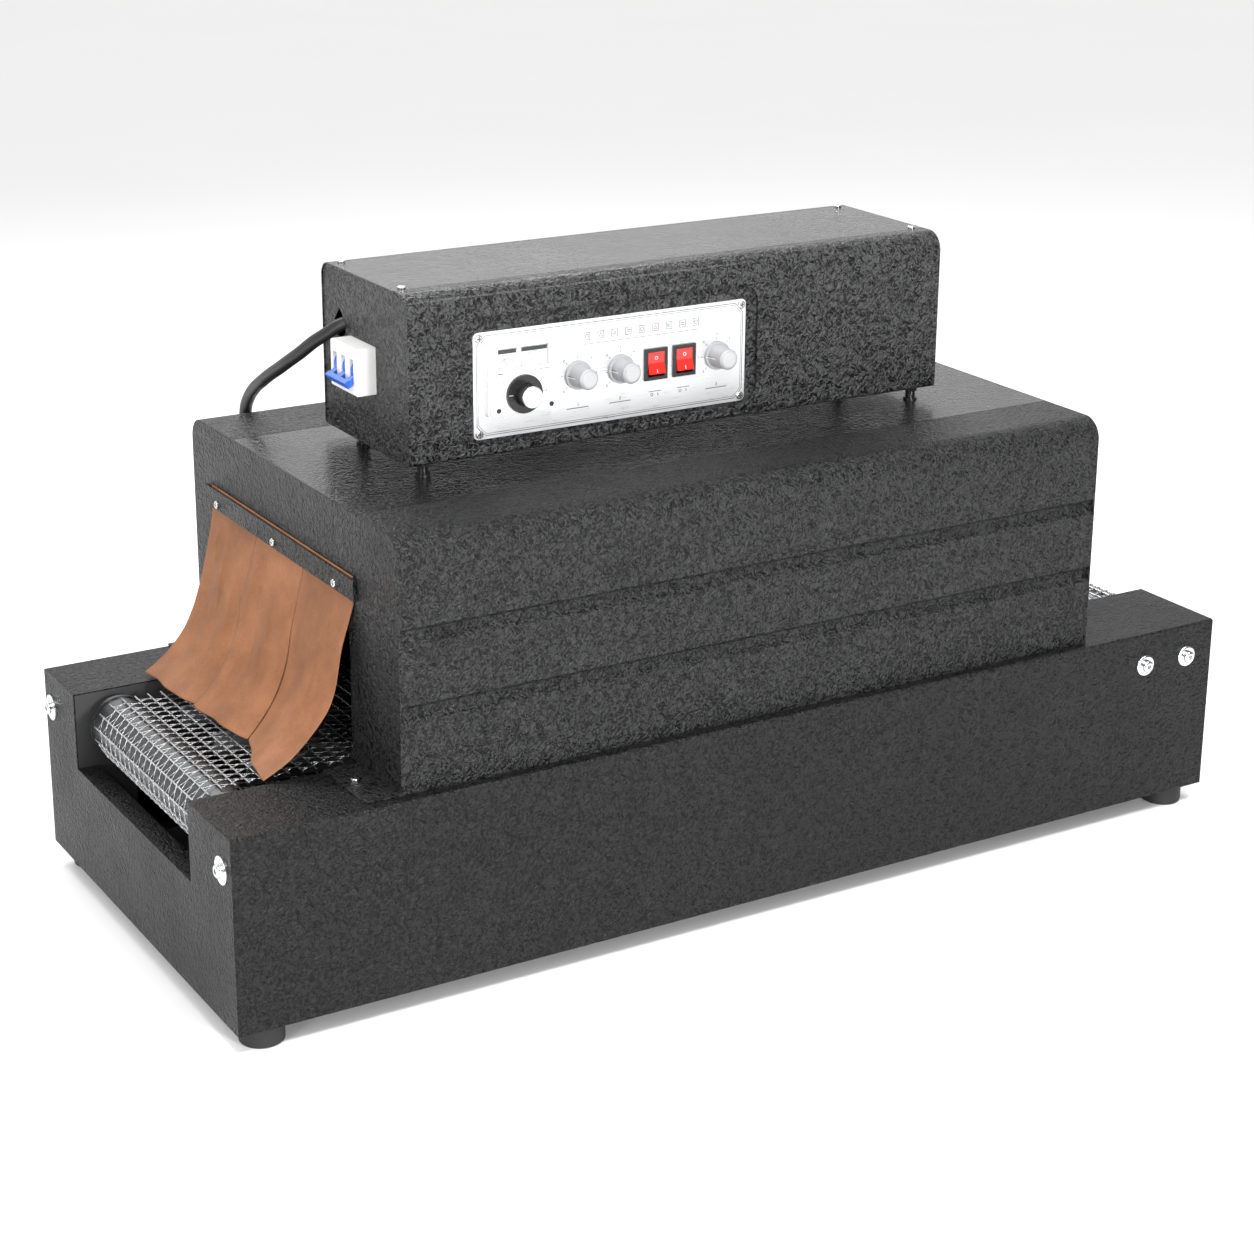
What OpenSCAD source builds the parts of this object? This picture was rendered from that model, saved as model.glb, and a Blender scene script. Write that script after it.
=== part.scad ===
// Bench-top heat shrink tunnel with a wire-mesh conveyor.
// X runs along the conveyor with the entry at -X, the control panel faces -Y and Z = 0 is the bench.

/* [Base] */
// Length of the base
base_len = 1120; // [1000:1:1300]
// Width of the base
base_w = 476; // [466:1:520]
// Height of the base housing above its feet
base_h = 188; // [180:1:230]
// Thickness of the sheet steel
sheet_t = 1.5; // [1:0.1:2]
// Height of a rubber foot
foot_h = 21; // [15:1:40]
// Diameter of a rubber foot
foot_d = 42; // [30:1:50]
// Height of the sill under the belt notch in each end
sill_h = 110; // [95:1:115]
// Width of the lip that stiffens each sill
sill_lip = 22; // [10:1:26]

/* [Conveyor] */
// Distance of the belt's centre line behind the base's centre line
line_y = 6; // [4:1:8]
// Clear width between the side frames
channel_w = 294; // [290:1:300]
// Width by which the front rail covers the channel past the entry plate
rail_lip = 16; // [10:1:16]
// Thickness of a side frame
frame_t = 3; // [2:0.5:4]
// Depth of the roller axes below the top of the base
axis_drop = 35; // [33:1:36]
// Distance of the idler axis from the entry end
idler_inset = 42; // [40:1:60]
// Distance of the drive roller axis from the exit end
drive_inset = 35; // [34:1:45]
// Distance of the tie rod from the exit end
tie_inset = 92; // [90:1:110]
// Outer diameter of a roller tube
roller_d = 56; // [50:1:58]
// Wall of a roller tube
roller_wall = 2.5; // [2:0.5:4]
// Length of a roller
roller_len = 276; // [270:1:284]
// Diameter of the rim at each end of a roller
rim_d = 60; // [59:1:62]
// Width of a roller's rim
rim_w = 4; // [3:1:6]
// Diameter of a roller's fixed shaft
shaft_d = 15; // [12:1:17]
// Outer diameter of a roller's ball bearing
bearing_d = 35; // [30:1:38]
// Width of a roller's ball bearing
bearing_w = 11; // [8:1:12]
// Wire thickness of the mesh belt
wire_d = 1.6; // [1.2:0.1:1.8]
// Width of the mesh belt
belt_w = 252; // [228:12:264]
// Spacing of the cross rods along the belt
rod_pitch = 13.2; // [12:0.1:15]
// Width of one wave of a link wire
link_pitch = 24; // [18:1:30]
// Distance of the take-up screws from the base's centre line
take_up_y = 218; // [210:1:220]
// Travel of the take-up blocks
take_up_travel = 10; // [5:1:12]
// Diameter of the return roller
return_d = 24; // [20:1:30]
// Distance of the return roller from the idler
return_x = 500; // [400:10:600]

/* [Drive] */
// Pitch of the drive chain
chain_pitch = 9.525; // [9:0.025:9.525]
// Teeth on the roller's sprocket
roller_teeth = 17; // [15:1:17]
// Teeth on the motor's sprocket
motor_teeth = 12; // [11:1:14]
// Distance of the motor shaft from the drive roller along the base
motor_back = 110; // [105:1:160]
// Depth of the motor shaft below the roller axes
motor_drop = 102; // [98:1:104]
// Width of the square gearbox
gearbox_w = 88; // [70:1:90]
// Length of the gearbox
gearbox_len = 52; // [40:1:60]
// Diameter of the motor
motor_d = 82; // [70:1:86]
// Length of the motor behind its gearbox
motor_len = 96; // [80:1:120]

/* [Tunnel] */
// Length of the tunnel over its end plates
tunnel_len = 786; // [700:1:820]
// Distance of the tunnel's centre from the base's centre
tunnel_x = 1.5; // [0:0.5:10]
// Width of the tunnel housing
tunnel_w = 464; // [460:1:466]
// Height of the tunnel housing
tunnel_h = 239; // [230:1:260]
// Radius of the tunnel's top edges
tunnel_r = 22; // [12:1:30]
// Thickness of an end plate
plate_t = 2; // [1.5:0.5:3]
// Width of the front cover's top strip
front_strip_w = 84; // [60:1:100]
// Width of the back cover's top strip
back_strip_w = 103; // [60:1:110]
// Height of the upper groove's middle above the base
groove_high = 148; // [130:1:160]
// Height of the lower groove's middle above the base
groove_low = 76; // [60:1:90]
// Height of a groove
groove_h = 16; // [10:1:20]
// Depth of a groove
groove_depth = 4.5; // [2:0.5:6]
// Width of the tunnel mouth
mouth_w = 306; // [290:1:310]
// Height of the tunnel mouth above the base
mouth_h = 153; // [140:1:160]
// Distance of the mouth's centre behind the base's centre line
mouth_y = 28; // [20:1:30]
// Width of the foot flange of an end plate
flange_w = 37; // [20:1:45]
// Height of the heat chamber above the base
chamber_h = 190; // [180:1:200]
// Diameter of a heater tube
heater_d = 10; // [8:1:12]
// Number of heater tubes
heater_count = 6; // [4:1:8]

/* [Curtains] */
// Length of a curtain clamp bar
bar_len = 344; // [330:1:350]
// Height of a curtain clamp bar
bar_h = 20; // [15:1:24]
// Thickness of a curtain clamp bar
bar_t = 3; // [2:0.5:4]
// Width of a curtain at the top
curtain_w = 327; // [320:1:330]
// Thickness of the curtain cloth
cloth_t = 0.8; // [0.5:0.1:1]
// Reach of the entry curtain's trailing edge from the end plate
trail = 95; // [60:1:100]

/* [Control box] */
// Length of the control box
box_len = 602; // [560:1:640]
// Distance of the control box's centre from the base's centre
box_x = -4; // [-8:1:8]
// Depth of the control box
box_w = 184; // [170:1:200]
// Distance of the control box's centre behind the base's centre line
box_y = 13; // [5:1:25]
// Height of the control box
box_h = 160.5; // [150:0.5:180]
// Radius of the control box's top front edge
box_r = 19; // [12:1:24]
// Height of a standoff under the control box
standoff_h = 13.5; // [10:0.5:20]
// Diameter of a standoff
standoff_d = 14; // [10:1:18]

/* [Control panel] */
// Width of the panel plate
panel_w = 300; // [290:1:310]
// Height of the panel plate
panel_h = 102; // [98:1:106]
// Thickness of the panel plate
panel_t = 1.5; // [1:0.1:2]
// Distance of the panel's centre from the box's centre
panel_x = -83; // [-90:1:-70]
// Height of the panel's centre above the box's bottom
panel_z = 67; // [62:1:72]
// Depth of the pressed recess round the panel
recess_depth = 4; // [2:0.5:5]
// Width of the square temperature controller
controller_w = 72; // [66:1:76]
// Height of the controller's front above the panel
controller_rise = 9; // [6:1:12]
// Skirt diameter of the controller's dial
dial_d = 37; // [30:1:38]
// Skirt diameter of a knob
knob_d = 28; // [22:1:30]
// Height of a knob
knob_h = 23; // [16:1:26]
// Width of a rocker switch over its bezel
bezel_w = 25.5; // [22:0.5:28]
// Height of a rocker switch over its bezel
bezel_h = 31; // [28:0.5:34]

/* [Circuit breaker] */
// Width of the three-pole breaker's nose
breaker_w = 54; // [50:1:58]
// Height of the breaker's nose
breaker_h = 45; // [42:1:48]
// Distance by which the nose stands out of the box
breaker_out = 20; // [16:1:24]

/* [Wiring lead] */
// Outer diameter of the wiring lead
lead_d = 13; // [11:0.5:14]

/* [Hidden] */
$fn = 48;

// Overrun that carries a cut clear of a face
cut = 1;
// Gap between pieces of different bodies
gap = 0.3;
// Running clearance of a journal in its bore
run_gap = 0.05;
// Angle of one full turn
turn = 360;
// All four corners alike
four = [1, 1, 1, 1];

// Levels and ends of the base
base_z = foot_h;
base_top = base_z + base_h;
end_x = base_len / 2;
side_y = base_w / 2;
sill_z = base_z + sill_h;
rail_z = base_top - sheet_t;
floor_z = base_z + sheet_t;
floor_lip = 12;
fold_r = 2.5;

// Upright ventilation slots
slot_w = 4;
slot_h = 40;
slot_pitch = 10;
slot_count = 9;

// Belt channel between the side frames
channel_front = line_y - channel_w / 2;
channel_back = line_y + channel_w / 2;
axis_z = base_top - axis_drop;
idler_x = idler_inset - end_x;
drive_x = end_x - drive_inset;
tie_x = end_x - tie_inset;

// Weight-saving windows of a side frame
opening_w = 100;
opening_h = 70;
opening_r = 15;
opening_low = base_z + 24;
opening_pitch = 145;
opening_count = 5;
opening_start = 60 - end_x;

// Rollers
roller_r = roller_d / 2;
roller_front = line_y - roller_len / 2;
roller_back = line_y + roller_len / 2;
cap_t = bearing_w + 1.5 * sheet_t;
shaft_r = shaft_d / 2;
shaft_clear = 0.5;
race_gap = 0.9;
hub_r = 14;
hub_bore_r = 15.5;
hub_wall = 3;

// Mesh belt
wrap_pitches = 7;
wrap_step = turn / 2 / wrap_pitches;
belt_r = (roller_r + gap + wire_d / 2) / cos(wrap_step / 2);
run_len = drive_x - idler_x;
run_pitches = round(run_len / rod_pitch);
belt_pitches = 2 * (run_pitches + wrap_pitches);
half_waves = round(2 * belt_w / link_pitch);
belt_front = line_y - belt_w / 2;
belt_top = axis_z + belt_r + wire_d / 2;
wave_share = 0.9;
return_r = return_d / 2;
return_axis_x = idler_x + return_x;
return_axis_z = axis_z - belt_r - wire_d / 2 - gap - return_r;
journal_r = 5;

// Belt bed
rail_t = 4;
rail_h = 22;
rail_spread = 80;
rail_clear = 3;
tie_r = 7;
bed_bar_w = 30;
bed_bar_h = 8;
bed_bars_share = [0.12, 0.45, 0.8];

// Take-up blocks, bolts and washers
block_l = 39;
block_w = 16;
block_h = 26;
block_front_share = 0.7;
block_x = idler_x - block_front_share * block_l;
thread_r = 4;
thread_engage = 14;
thread_spare = 2;
head_r = 6.5;
head_h = 5;
washer_r = 13;
washer_t = 2;
dome_r = 11.5;
dome_t = 2.4;
socket_r = 2.9;
socket_depth = 3;
bolt_depth = 18;

// Drive
roller_pitch_r = chain_pitch / 2 / sin(turn / 2 / roller_teeth);
motor_pitch_r = chain_pitch / 2 / sin(turn / 2 / motor_teeth);
chain_roller_r = chain_pitch * 0.27;
tooth_rise = chain_pitch * 0.3;
tooth_w = 4.4;
chain_plate_t = 1.2;
chain_half_h = 3.8;
loop_steps = 24;
sprocket_gap = 14;
sprocket_y = channel_front - frame_t - sprocket_gap;
sprocket_hub_r = 11;
sprocket_wall = 3;
motor_x = drive_x - motor_back;
motor_z = axis_z - motor_drop;
motor_shaft_r = 6;
shaft_in = 30;
gearbox_r = 6;
fin_gap = 3;
fin_count = 12;

// Tunnel
entry_x = tunnel_x - tunnel_len / 2;
exit_x = tunnel_x + tunnel_len / 2;
tunnel_back = side_y;
tunnel_front = side_y - tunnel_w;
tunnel_top = base_top + tunnel_h;
mouth_front = mouth_y - mouth_w / 2;
mouth_back = mouth_y + mouth_w / 2;
mouth_top = base_top + mouth_h;
mouth_r = 3;
seam = 0.8;
seam_front = tunnel_front + front_strip_w;
seam_back = tunnel_back - back_strip_w;
groove_floor_share = 0.5;
foot_lip = 15;
chamber_t = 1.2;
chamber_top = base_top + chamber_h;
heater_drop = 18;
heater_z = chamber_top - heater_drop;
heater_tail = 14;
heater_cap_r = 8;
heater_span = tunnel_len * 0.8;
heater_x = [for (i = [0:heater_count - 1]) tunnel_x + heater_span * (i / (heater_count - 1) - 1 / 2)];
// The wool fills these shares of the room beside and above the chamber
wool_fill_share = 0.57;
wool_top_share = 0.65;
wool_t = (tunnel_back - mouth_back - chamber_t) * wool_fill_share;
wool_top_t = (tunnel_top - chamber_top) * wool_top_share;
wool_end = 8;
probe_r = 3;
probe_rise = 34;
probe_drop = 30;
probe_x = tunnel_x;
probe_head_r = 7;
probe_head_h = 12;

// Curtains: each strip hangs from the mouth's top edge
curtain_y = 25.5;
curtain_front = curtain_y - curtain_w / 2;
hem_up = 28;
bar_lift = 5;
bar_z = mouth_top + bar_lift;
flap_top = mouth_top - 2 * gap;
flap_low = base_top + 3 * gap;
flap_drop = flap_top - flap_low;
slit = 1;
strip_w = (curtain_w - 2 * slit) / 3;
fold = 3;
fold_count = 4.5;
exit_trail = trail / 3;
// Shares of the drop at which the cloth is drawn, and of the trail that it has reached there
drop_share = [0, 0.12, 0.27, 0.42, 0.56, 0.69, 0.8, 0.89, 0.955, 1];
trail_share = [0, 0.08, 0.16, 0.22, 0.28, 0.37, 0.48, 0.62, 0.78, 1];
flap_cols = 12;

// Control box
box_z = tunnel_top + standoff_h;
box_top = box_z + box_h;
box_front = box_y - box_w / 2;
box_back = box_y + box_w / 2;
box_left = box_x - box_len / 2;
box_right = box_x + box_len / 2;
box_back_r = 14;
box_low_r = 4;
box_seam_y = box_front + 1.5 * box_r;
cover_t = 1.2;
cover_lip = 12;
cover_back = box_back - box_back_r;
standoff_in_x = 20;
standoff_front_in = 14;
standoff_back_in = 43;
nut_h = 4;

// Panel and what it holds, measured from the panel's centre
plate_x = box_x + panel_x;
plate_z = box_z + panel_z;
recess_side = 13;
recess_above = 15;
recess_below = 3;
recess_r = 20;
recess_floor_y = box_front + recess_depth;
panel_back_y = recess_floor_y;
panel_y = panel_back_y - panel_t;
panel_corner_r = 5;
panel_lap = 6;
controller_left = 102;
controller_up = 6.5;
controller_x = plate_x - controller_left;
controller_z = plate_z + controller_up;
controller_y = panel_y - controller_rise;
controller_r = 3;
controller_deep = 60;
bezel_step = 2;
dial_down = 16;
dial_z = controller_z - dial_down;
window_w = 54;
window_h = 20;
window_rise = 19;
window_depth = 2;
skirt_h = 3;
dial_h = 17;
dial_grip_share = 0.6;
dial_cap_share = 0.54;
knob_grip_share = 0.82;
knob_cap_share = 0.72;
row_down = 1.5;
knob_row_z = plate_z - row_down;
knob_offsets = [-39, 8, 117];
rocker_offsets = [47, 79];
knob_x = [for (d = knob_offsets) plate_x + d];
rocker_x = [for (d = rocker_offsets) plate_x + d];
spindle_r = 3;
spindle_l = 9;
spindle_hole_r = 4;
pointer_w = 1.2;
pointer_share = 0.5;
bezel_t = 2.5;
bezel_lap = 2;
bezel_wall = 3.4;
bezel_body = 16;
rocker_tilt = 8;
rocker_dish = 1.6;
rocker_proud = 1.4;
rocker_deep = 6;
rocker_back = 4;
rocker_side = 1.5;

// Breaker
breaker_y = 17;
breaker_up = 76.5;
breaker_z = box_z + breaker_up;
breaker_body_d = 40;
breaker_body_h = 80;
breaker_edge_r = 2;
toggle_r = 11;
toggle_t = 5;
toggle_reach = 17;
toggle_drop_angle = 35;
toggle_w = 7;
toggle_bar_h = 7;
toggle_slot_w = 8;
toggle_slot_h = 24;

// Lead: hole in the box's end, and the elbow behind the tunnel
lead_r = lead_d / 2;
hole_y = 67;
hole_up = 104;
hole_z = box_z + hole_up;
hole_r = 12;
lead_x = -330;
elbow_z = 330;
elbow_out = 9;
elbow_r = 9;
elbow_flange_r = 13;
elbow_flange_t = 2;
elbow_h = 22;
lead_sides = 10;
// Points of the lead's centre line, from the box to the elbow:
// share of the way between the two in X, step in X, then Y and Z
lead_points = [
    [0, 6, 62, 569], [0, -1, 68, 565], [0.12, -6, 78, 556], [0.28, -9, 92, 546], [0.44, -11, 109, 533],
    [0.6, -11, 128, 521], [0.72, -10, 149, 509], [0.8, -9, 170, 498], [0.88, -7, 190, 487],
    [0.92, -5, 210, 476], [0.96, -3, 228, 463], [1, -1, 242, 447], [1, 0, 247, 425], [1, 0, 247, 400],
    [1, 0, 247, 376], [1, 0, 247, 352]
];
lead_route = [for (p = lead_points) [box_left + (lead_x - box_left) * p[0] + p[1], p[2], p[3]]];

// Screws
screw_r = 2;
screw_hole_r = 2.2;
screw_head_r = 4;
screw_head_h = 2.2;
screw_l = 8;
foot_recess = foot_h - 0.75 * screw_l;
foot_hole_r = 6;
foot_edge_r = 3;
clamp_pitch = 137;
clamp_up = 11;
clamp_shift = 5;
clamp_out = bar_t + cloth_t;
flange_screw_out = 22;
flange_screw_front = 50;
flange_screw_back = 40;
cover_screw_in = 12;
panel_screw_in = 5.5;
foot_inset_x = 32;
foot_inset_y = 25;
foot_x = end_x - foot_inset_x;
foot_y = side_y - foot_inset_y;

// Places of the pan screws as [position, turn], the head standing along the turned Z axis
clamp_entry_places = [
    for (i = [-1:1])
    [[entry_x - clamp_out, mouth_y + clamp_shift + i * clamp_pitch, mouth_top + clamp_up], [0, -90, 0]]
];
clamp_exit_places = [
    for (i = [-1:1])
    [[exit_x + clamp_out, mouth_y + clamp_shift + i * clamp_pitch, mouth_top + clamp_up], [0, 90, 0]]
];
flange_places = [
    for (y = [tunnel_front + flange_screw_front, tunnel_back - flange_screw_back])
    [[entry_x - flange_screw_out, y, base_top + plate_t], [0, 0, 0]]
];
cover_places = [
    for (x = [box_left + cover_screw_in, box_right - cover_screw_in])
    for (y = [box_seam_y + cover_lip / 2, cover_back - cover_lip / 2])
    [[x, y, box_top], [0, 0, 0]]
];
panel_places = [
    for (i = [-1, 1]) for (j = [-1, 1])
    [
        [plate_x + i * (panel_w / 2 - panel_screw_in), panel_y, plate_z + j * (panel_h / 2 - panel_screw_in)],
        [90, 0, 0]
    ]
];
foot_places = [
    for (i = [-1, 1]) for (j = [-1, 1])
    [[i * foot_x, j * foot_y, foot_recess], [180, 0, 0]]
];

// Box between two corners
module block(lo, hi) {
    translate(lo) cube(hi - lo);
}

// Round bars along X and Y from their start
module bar_x(p, r, len) {
    translate(p) rotate([0, 90, 0]) cylinder(r = r, h = len);
}

module bar_y(p, r, len) {
    translate(p) rotate([-90, 0, 0]) cylinder(r = r, h = len);
}

// Turned shape drawn as (radius, y), on an axis along Y
module turned_y(x, z) {
    translate([x, 0, z]) rotate([-90, 0, 0]) rotate_extrude() children();
}

// Profile drawn as (y, z) and run along X
module along_x(x0, x1) {
    translate([x0, 0, 0]) rotate([90, 0, 90]) linear_extrude(x1 - x0) children();
}

// Profile drawn as (x, z) and run along Y
module along_y(y0, y1) {
    translate([0, y1, 0]) rotate([90, 0, 0]) linear_extrude(y1 - y0) children();
}

// Flat area between two corners
module area(lo, hi) {
    translate(lo) square(hi - lo);
}

// Area with corner radii in the order low left, low right, top right, top left
module rounded(lo, hi, radii) {
    corner = [lo, [hi[0], lo[1]], hi, [lo[0], hi[1]]];
    inward = [[1, 1], [-1, 1], [-1, -1], [1, -1]];
    difference() {
        area(lo, hi);
        for (i = [0:3]) if (radii[i] > 0) {
            r = radii[i];
            c = corner[i] + r * inward[i];
            far = [for (k = [0, 1]) inward[i][k] > 0 ? c[k] - r - cut : c[k]];
            difference() {
                translate(far) square(r + cut);
                translate(c) circle(r = r);
            }
        }
    }
}

// Clearance holes for the screws at a list of places
module screw_holes(places) {
    for (p = places)
        translate(p[0]) rotate(p[1]) translate([0, 0, -2 * screw_l])
            cylinder(r = screw_hole_r, h = 3 * screw_l);
}

// Row of upright slots along X, cut through a wall that faces Y
module slot_row(x, y, z, count) {
    for (i = [0:count - 1])
        block(
            [x + i * slot_pitch, y - 2 * sheet_t, z],
            [x + i * slot_pitch + slot_w, y + 2 * sheet_t, z + slot_h]
        );
}

// Holes for the bolts that hold the drive shaft and the tie rod
module bolt_holes(y) {
    for (x = [drive_x, tie_x]) bar_y([x, y - 2 * sheet_t, axis_z], thread_r + gap, 4 * sheet_t);
}

module base_front_panel() {
    inner_r = fold_r - sheet_t;
    color("#2c2d30") difference() {
        union() {
            along_x(sheet_t - end_x, end_x - sheet_t) difference() {
                rounded([-side_y, base_z], [channel_front, base_top], [0, 0, 0, fold_r]);
                rounded([sheet_t - side_y, base_z - cut], [channel_front + cut, rail_z], [0, 0, 0, inner_r]);
            }
            block(
                [entry_x, channel_front - rail_lip, rail_z],
                [end_x - sheet_t, channel_front + rail_lip, base_top]
            );
        }
        bolt_holes(-side_y);
        screw_holes([flange_places[0]]);
    }
}

module base_back_panel() {
    inner_r = fold_r - sheet_t;
    color("#2c2d30") difference() {
        along_x(sheet_t - end_x, end_x - sheet_t) difference() {
            rounded([channel_back, base_z], [side_y, base_top], [0, 0, fold_r, 0]);
            rounded([channel_back - cut, base_z - cut], [side_y - sheet_t, rail_z], [0, 0, inner_r, 0]);
        }
        bolt_holes(side_y);
        screw_holes([flange_places[1]]);
        slot_row(motor_x - slot_count * slot_pitch / 2, side_y, motor_z - slot_h / 2, slot_count);
    }
}

// End panel between two X values, its lip running inward from the sill to lip_x
module end_panel(x0, x1, lip_lo, lip_hi, notch_front) {
    along_x(x0, x1) difference() {
        rounded([-side_y, base_z], [side_y, base_top], [0, 0, fold_r, fold_r]);
        area([notch_front, sill_z], [channel_back, base_top + cut]);
    }
    block([lip_lo, notch_front, sill_z - sheet_t], [lip_hi, channel_back, sill_z]);
}

module base_end_panels() {
    color("#2c2d30") difference() {
        union() {
            end_panel(-end_x, sheet_t - end_x, -end_x, sill_lip - end_x, channel_front);
            end_panel(end_x - sheet_t, end_x, end_x - sill_lip, end_x, channel_front + rail_lip);
        }
        for (i = [-1, 1]) bar_x([-end_x - cut, i * take_up_y, axis_z], thread_r + gap, sheet_t + 2 * cut);
    }
}

module bottom_plate() {
    edge_x = end_x - sheet_t - gap;
    edge_y = side_y - sheet_t - gap;
    color("#333436") difference() {
        union() {
            block([-edge_x, -edge_y, base_z], [edge_x, edge_y, floor_z]);
            for (i = [-1, 1])
                block([-edge_x, i * edge_y - (i + 1) / 2 * sheet_t, base_z],
                      [edge_x, i * edge_y + (1 - i) / 2 * sheet_t, base_z + floor_lip]);
        }
        screw_holes(foot_places);
        for (i = [0:slot_count - 1]) {
            x = motor_x - slot_count * slot_pitch / 2 + i * slot_pitch;
            block(
                [x, channel_front + slot_h, base_z - cut],
                [x + slot_w, channel_front + 2 * slot_h, floor_z + cut]
            );
        }
    }
}

module rubber_feet() {
    color("#17181a") for (i = [-1, 1]) for (j = [-1, 1])
        translate([i * foot_x, j * foot_y, 0]) rotate_extrude() difference() {
            rounded([screw_hole_r, 0], [foot_d / 2, foot_h], [0, foot_edge_r, foot_edge_r / 3, 0]);
            area([0, -cut], [foot_hole_r, foot_recess]);
        }
}

module side_frame(y) {
    difference() {
        block([sheet_t - end_x, y, floor_z], [end_x - sheet_t, y + frame_t, rail_z]);
        slot = [idler_x - shaft_r - gap, y - cut, axis_z - shaft_r - gap];
        block(slot, slot + [take_up_travel + shaft_d + 2 * gap, frame_t + 2 * cut, shaft_d + 2 * gap]);
        bar_y([tie_x, y - cut, axis_z], tie_r + run_gap, frame_t + 2 * cut);
        bar_y([return_axis_x, y - cut, return_axis_z], journal_r + run_gap, frame_t + 2 * cut);
        for (i = [0:opening_count - 1]) {
            x = opening_start + i * opening_pitch;
            along_y(y - cut, y + frame_t + cut)
                rounded([x, opening_low], [x + opening_w, opening_low + opening_h], opening_r * four);
        }
        children();
    }
}

module side_frames() {
    y = channel_front - frame_t;
    color("#3a3b3e") {
        side_frame(y) {
            bar_y([drive_x, y - cut, axis_z], hub_bore_r, frame_t + 2 * cut);
            bar_y([motor_x, y - cut, motor_z], motor_shaft_r + gap, frame_t + 2 * cut);
        }
        side_frame(channel_back) {
            bar_y([drive_x, channel_back - cut, axis_z], shaft_r + run_gap, frame_t + 2 * cut);
        }
    }
}

module belt_bed() {
    top = belt_top - wire_d - gap;
    lo_x = idler_x + rim_d / 2 + take_up_travel + rail_clear;
    hi_x = tie_x - tie_r - rail_clear;
    seat_z = top - rail_h;
    color("#8c8e92") {
        for (i = [-1:1]) {
            y = line_y + i * rail_spread - rail_t / 2;
            block([lo_x, y, seat_z], [hi_x, y + rail_t, top]);
        }
        for (s = bed_bars_share) {
            x = lo_x + s * (hi_x - lo_x);
            block(
                [x - bed_bar_w / 2, channel_front, seat_z - gap - bed_bar_h],
                [x + bed_bar_w / 2, channel_back, seat_z - gap]
            );
        }
    }
}

// Centre of the belt's cross rod i as [x, z], going along the top and back below
function rod_place(i) =
    i <= run_pitches ? [idler_x + run_len * i / run_pitches, axis_z + belt_r] :
    i < run_pitches + wrap_pitches ?
        let (a = turn / 4 - (i - run_pitches) * wrap_step)
        [drive_x + belt_r * cos(a), axis_z + belt_r * sin(a)] :
    i <= 2 * run_pitches + wrap_pitches ?
        [drive_x - run_len * (i - run_pitches - wrap_pitches) / run_pitches, axis_z - belt_r] :
        let (a = -turn / 4 - (i - 2 * run_pitches - wrap_pitches) * wrap_step)
        [idler_x + belt_r * cos(a), axis_z + belt_r * sin(a)];

module belt_rods() {
    color("#c9ccd0") for (i = [0:belt_pitches - 1]) {
        p = rod_place(i);
        bar_y([p[0], belt_front, p[1]], wire_d / 2, belt_w);
    }
}

// Wavy link wire between two rods that lie a chord apart, drawn as (along the belt, across it)
module link_wave(chord) {
    wave_w = wire_d * wave_share;
    near = wire_d / 2 + gap / 2 + wave_w / 2;
    far = chord - near;
    step = belt_w / half_waves;
    line = [for (k = [0:half_waves]) [k % 2 == 0 ? near : far, k * step]];
    polygon(concat(
        [for (p = line) p + [wave_w / 2, 0]],
        [for (k = [half_waves:-1:0]) line[k] - [wave_w / 2, 0]]
    ));
}

module belt_links() {
    color("#b4b8bd") for (i = [0:belt_pitches - 1]) {
        p = rod_place(i);
        q = rod_place((i + 1) % belt_pitches);
        d = q - p;
        translate([p[0], belt_front, p[1]]) rotate([0, -atan2(d[1], d[0]), 0])
            translate([0, 0, -wire_d / 2]) linear_extrude(wire_d) link_wave(norm(d));
    }
}

// Half section of a roller with its end caps, bearing seats and rims; a front wall turns that seat inward
module roller_section(front_wall) {
    difference() {
        union() {
            area([0, roller_front], [roller_r, roller_back]);
            area([0, roller_front], [rim_d / 2, roller_front + rim_w]);
            area([0, roller_back - rim_w], [rim_d / 2, roller_back]);
        }
        area([0, roller_front + cap_t + front_wall], [roller_r - roller_wall, roller_back - cap_t]);
        if (front_wall == 0) area([0, roller_front - cut], [bearing_d / 2, roller_front + bearing_w]);
        else area([0, roller_front + front_wall], [bearing_d / 2, roller_front + front_wall + cap_t + cut]);
        area([0, roller_back - bearing_w], [bearing_d / 2, roller_back + cut]);
        area([0, roller_front - cut], [shaft_r + shaft_clear, roller_back + cut]);
    }
}

module idler_roller() {
    color("#d4d6d9") turned_y(idler_x, axis_z) roller_section(0);
}

module drive_roller() {
    color("#d4d6d9") turned_y(drive_x, axis_z) union() {
        roller_section(hub_wall);
        area([shaft_r + shaft_clear, sprocket_y - tooth_w], [hub_r, roller_front + hub_wall]);
    }
}

// Ball bearing as one ring, with the groove between its races on both faces
module bearing(x, y) {
    groove_r = (shaft_d + bearing_d) / 4;
    turned_y(x, axis_z) difference() {
        area([shaft_r + run_gap, y], [bearing_d / 2, y + bearing_w]);
        area([groove_r - race_gap, y - cut], [groove_r + race_gap, y + race_gap]);
        area([groove_r - race_gap, y + bearing_w - race_gap], [groove_r + race_gap, y + bearing_w + cut]);
    }
}

module idler_bearings() {
    color("#a9acb0") {
        bearing(idler_x, roller_front);
        bearing(idler_x, roller_back - bearing_w);
    }
}

module drive_bearings() {
    color("#a9acb0") {
        bearing(drive_x, roller_front + hub_wall);
        bearing(drive_x, roller_back - bearing_w);
    }
}

module idler_shaft() {
    half = take_up_y + block_w / 2;
    color("#9a9da1") bar_y([idler_x, -half, axis_z], shaft_r, 2 * half);
}

// Shaft fixed between the front and back panels, drilled for a bolt at each end
module cross_shaft(x, r) {
    half = side_y - sheet_t;
    difference() {
        bar_y([x, -half, axis_z], r, 2 * half);
        for (i = [-1, 1]) bar_y([x, i * half - bolt_depth, axis_z], thread_r + run_gap, 2 * bolt_depth);
    }
}

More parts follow.
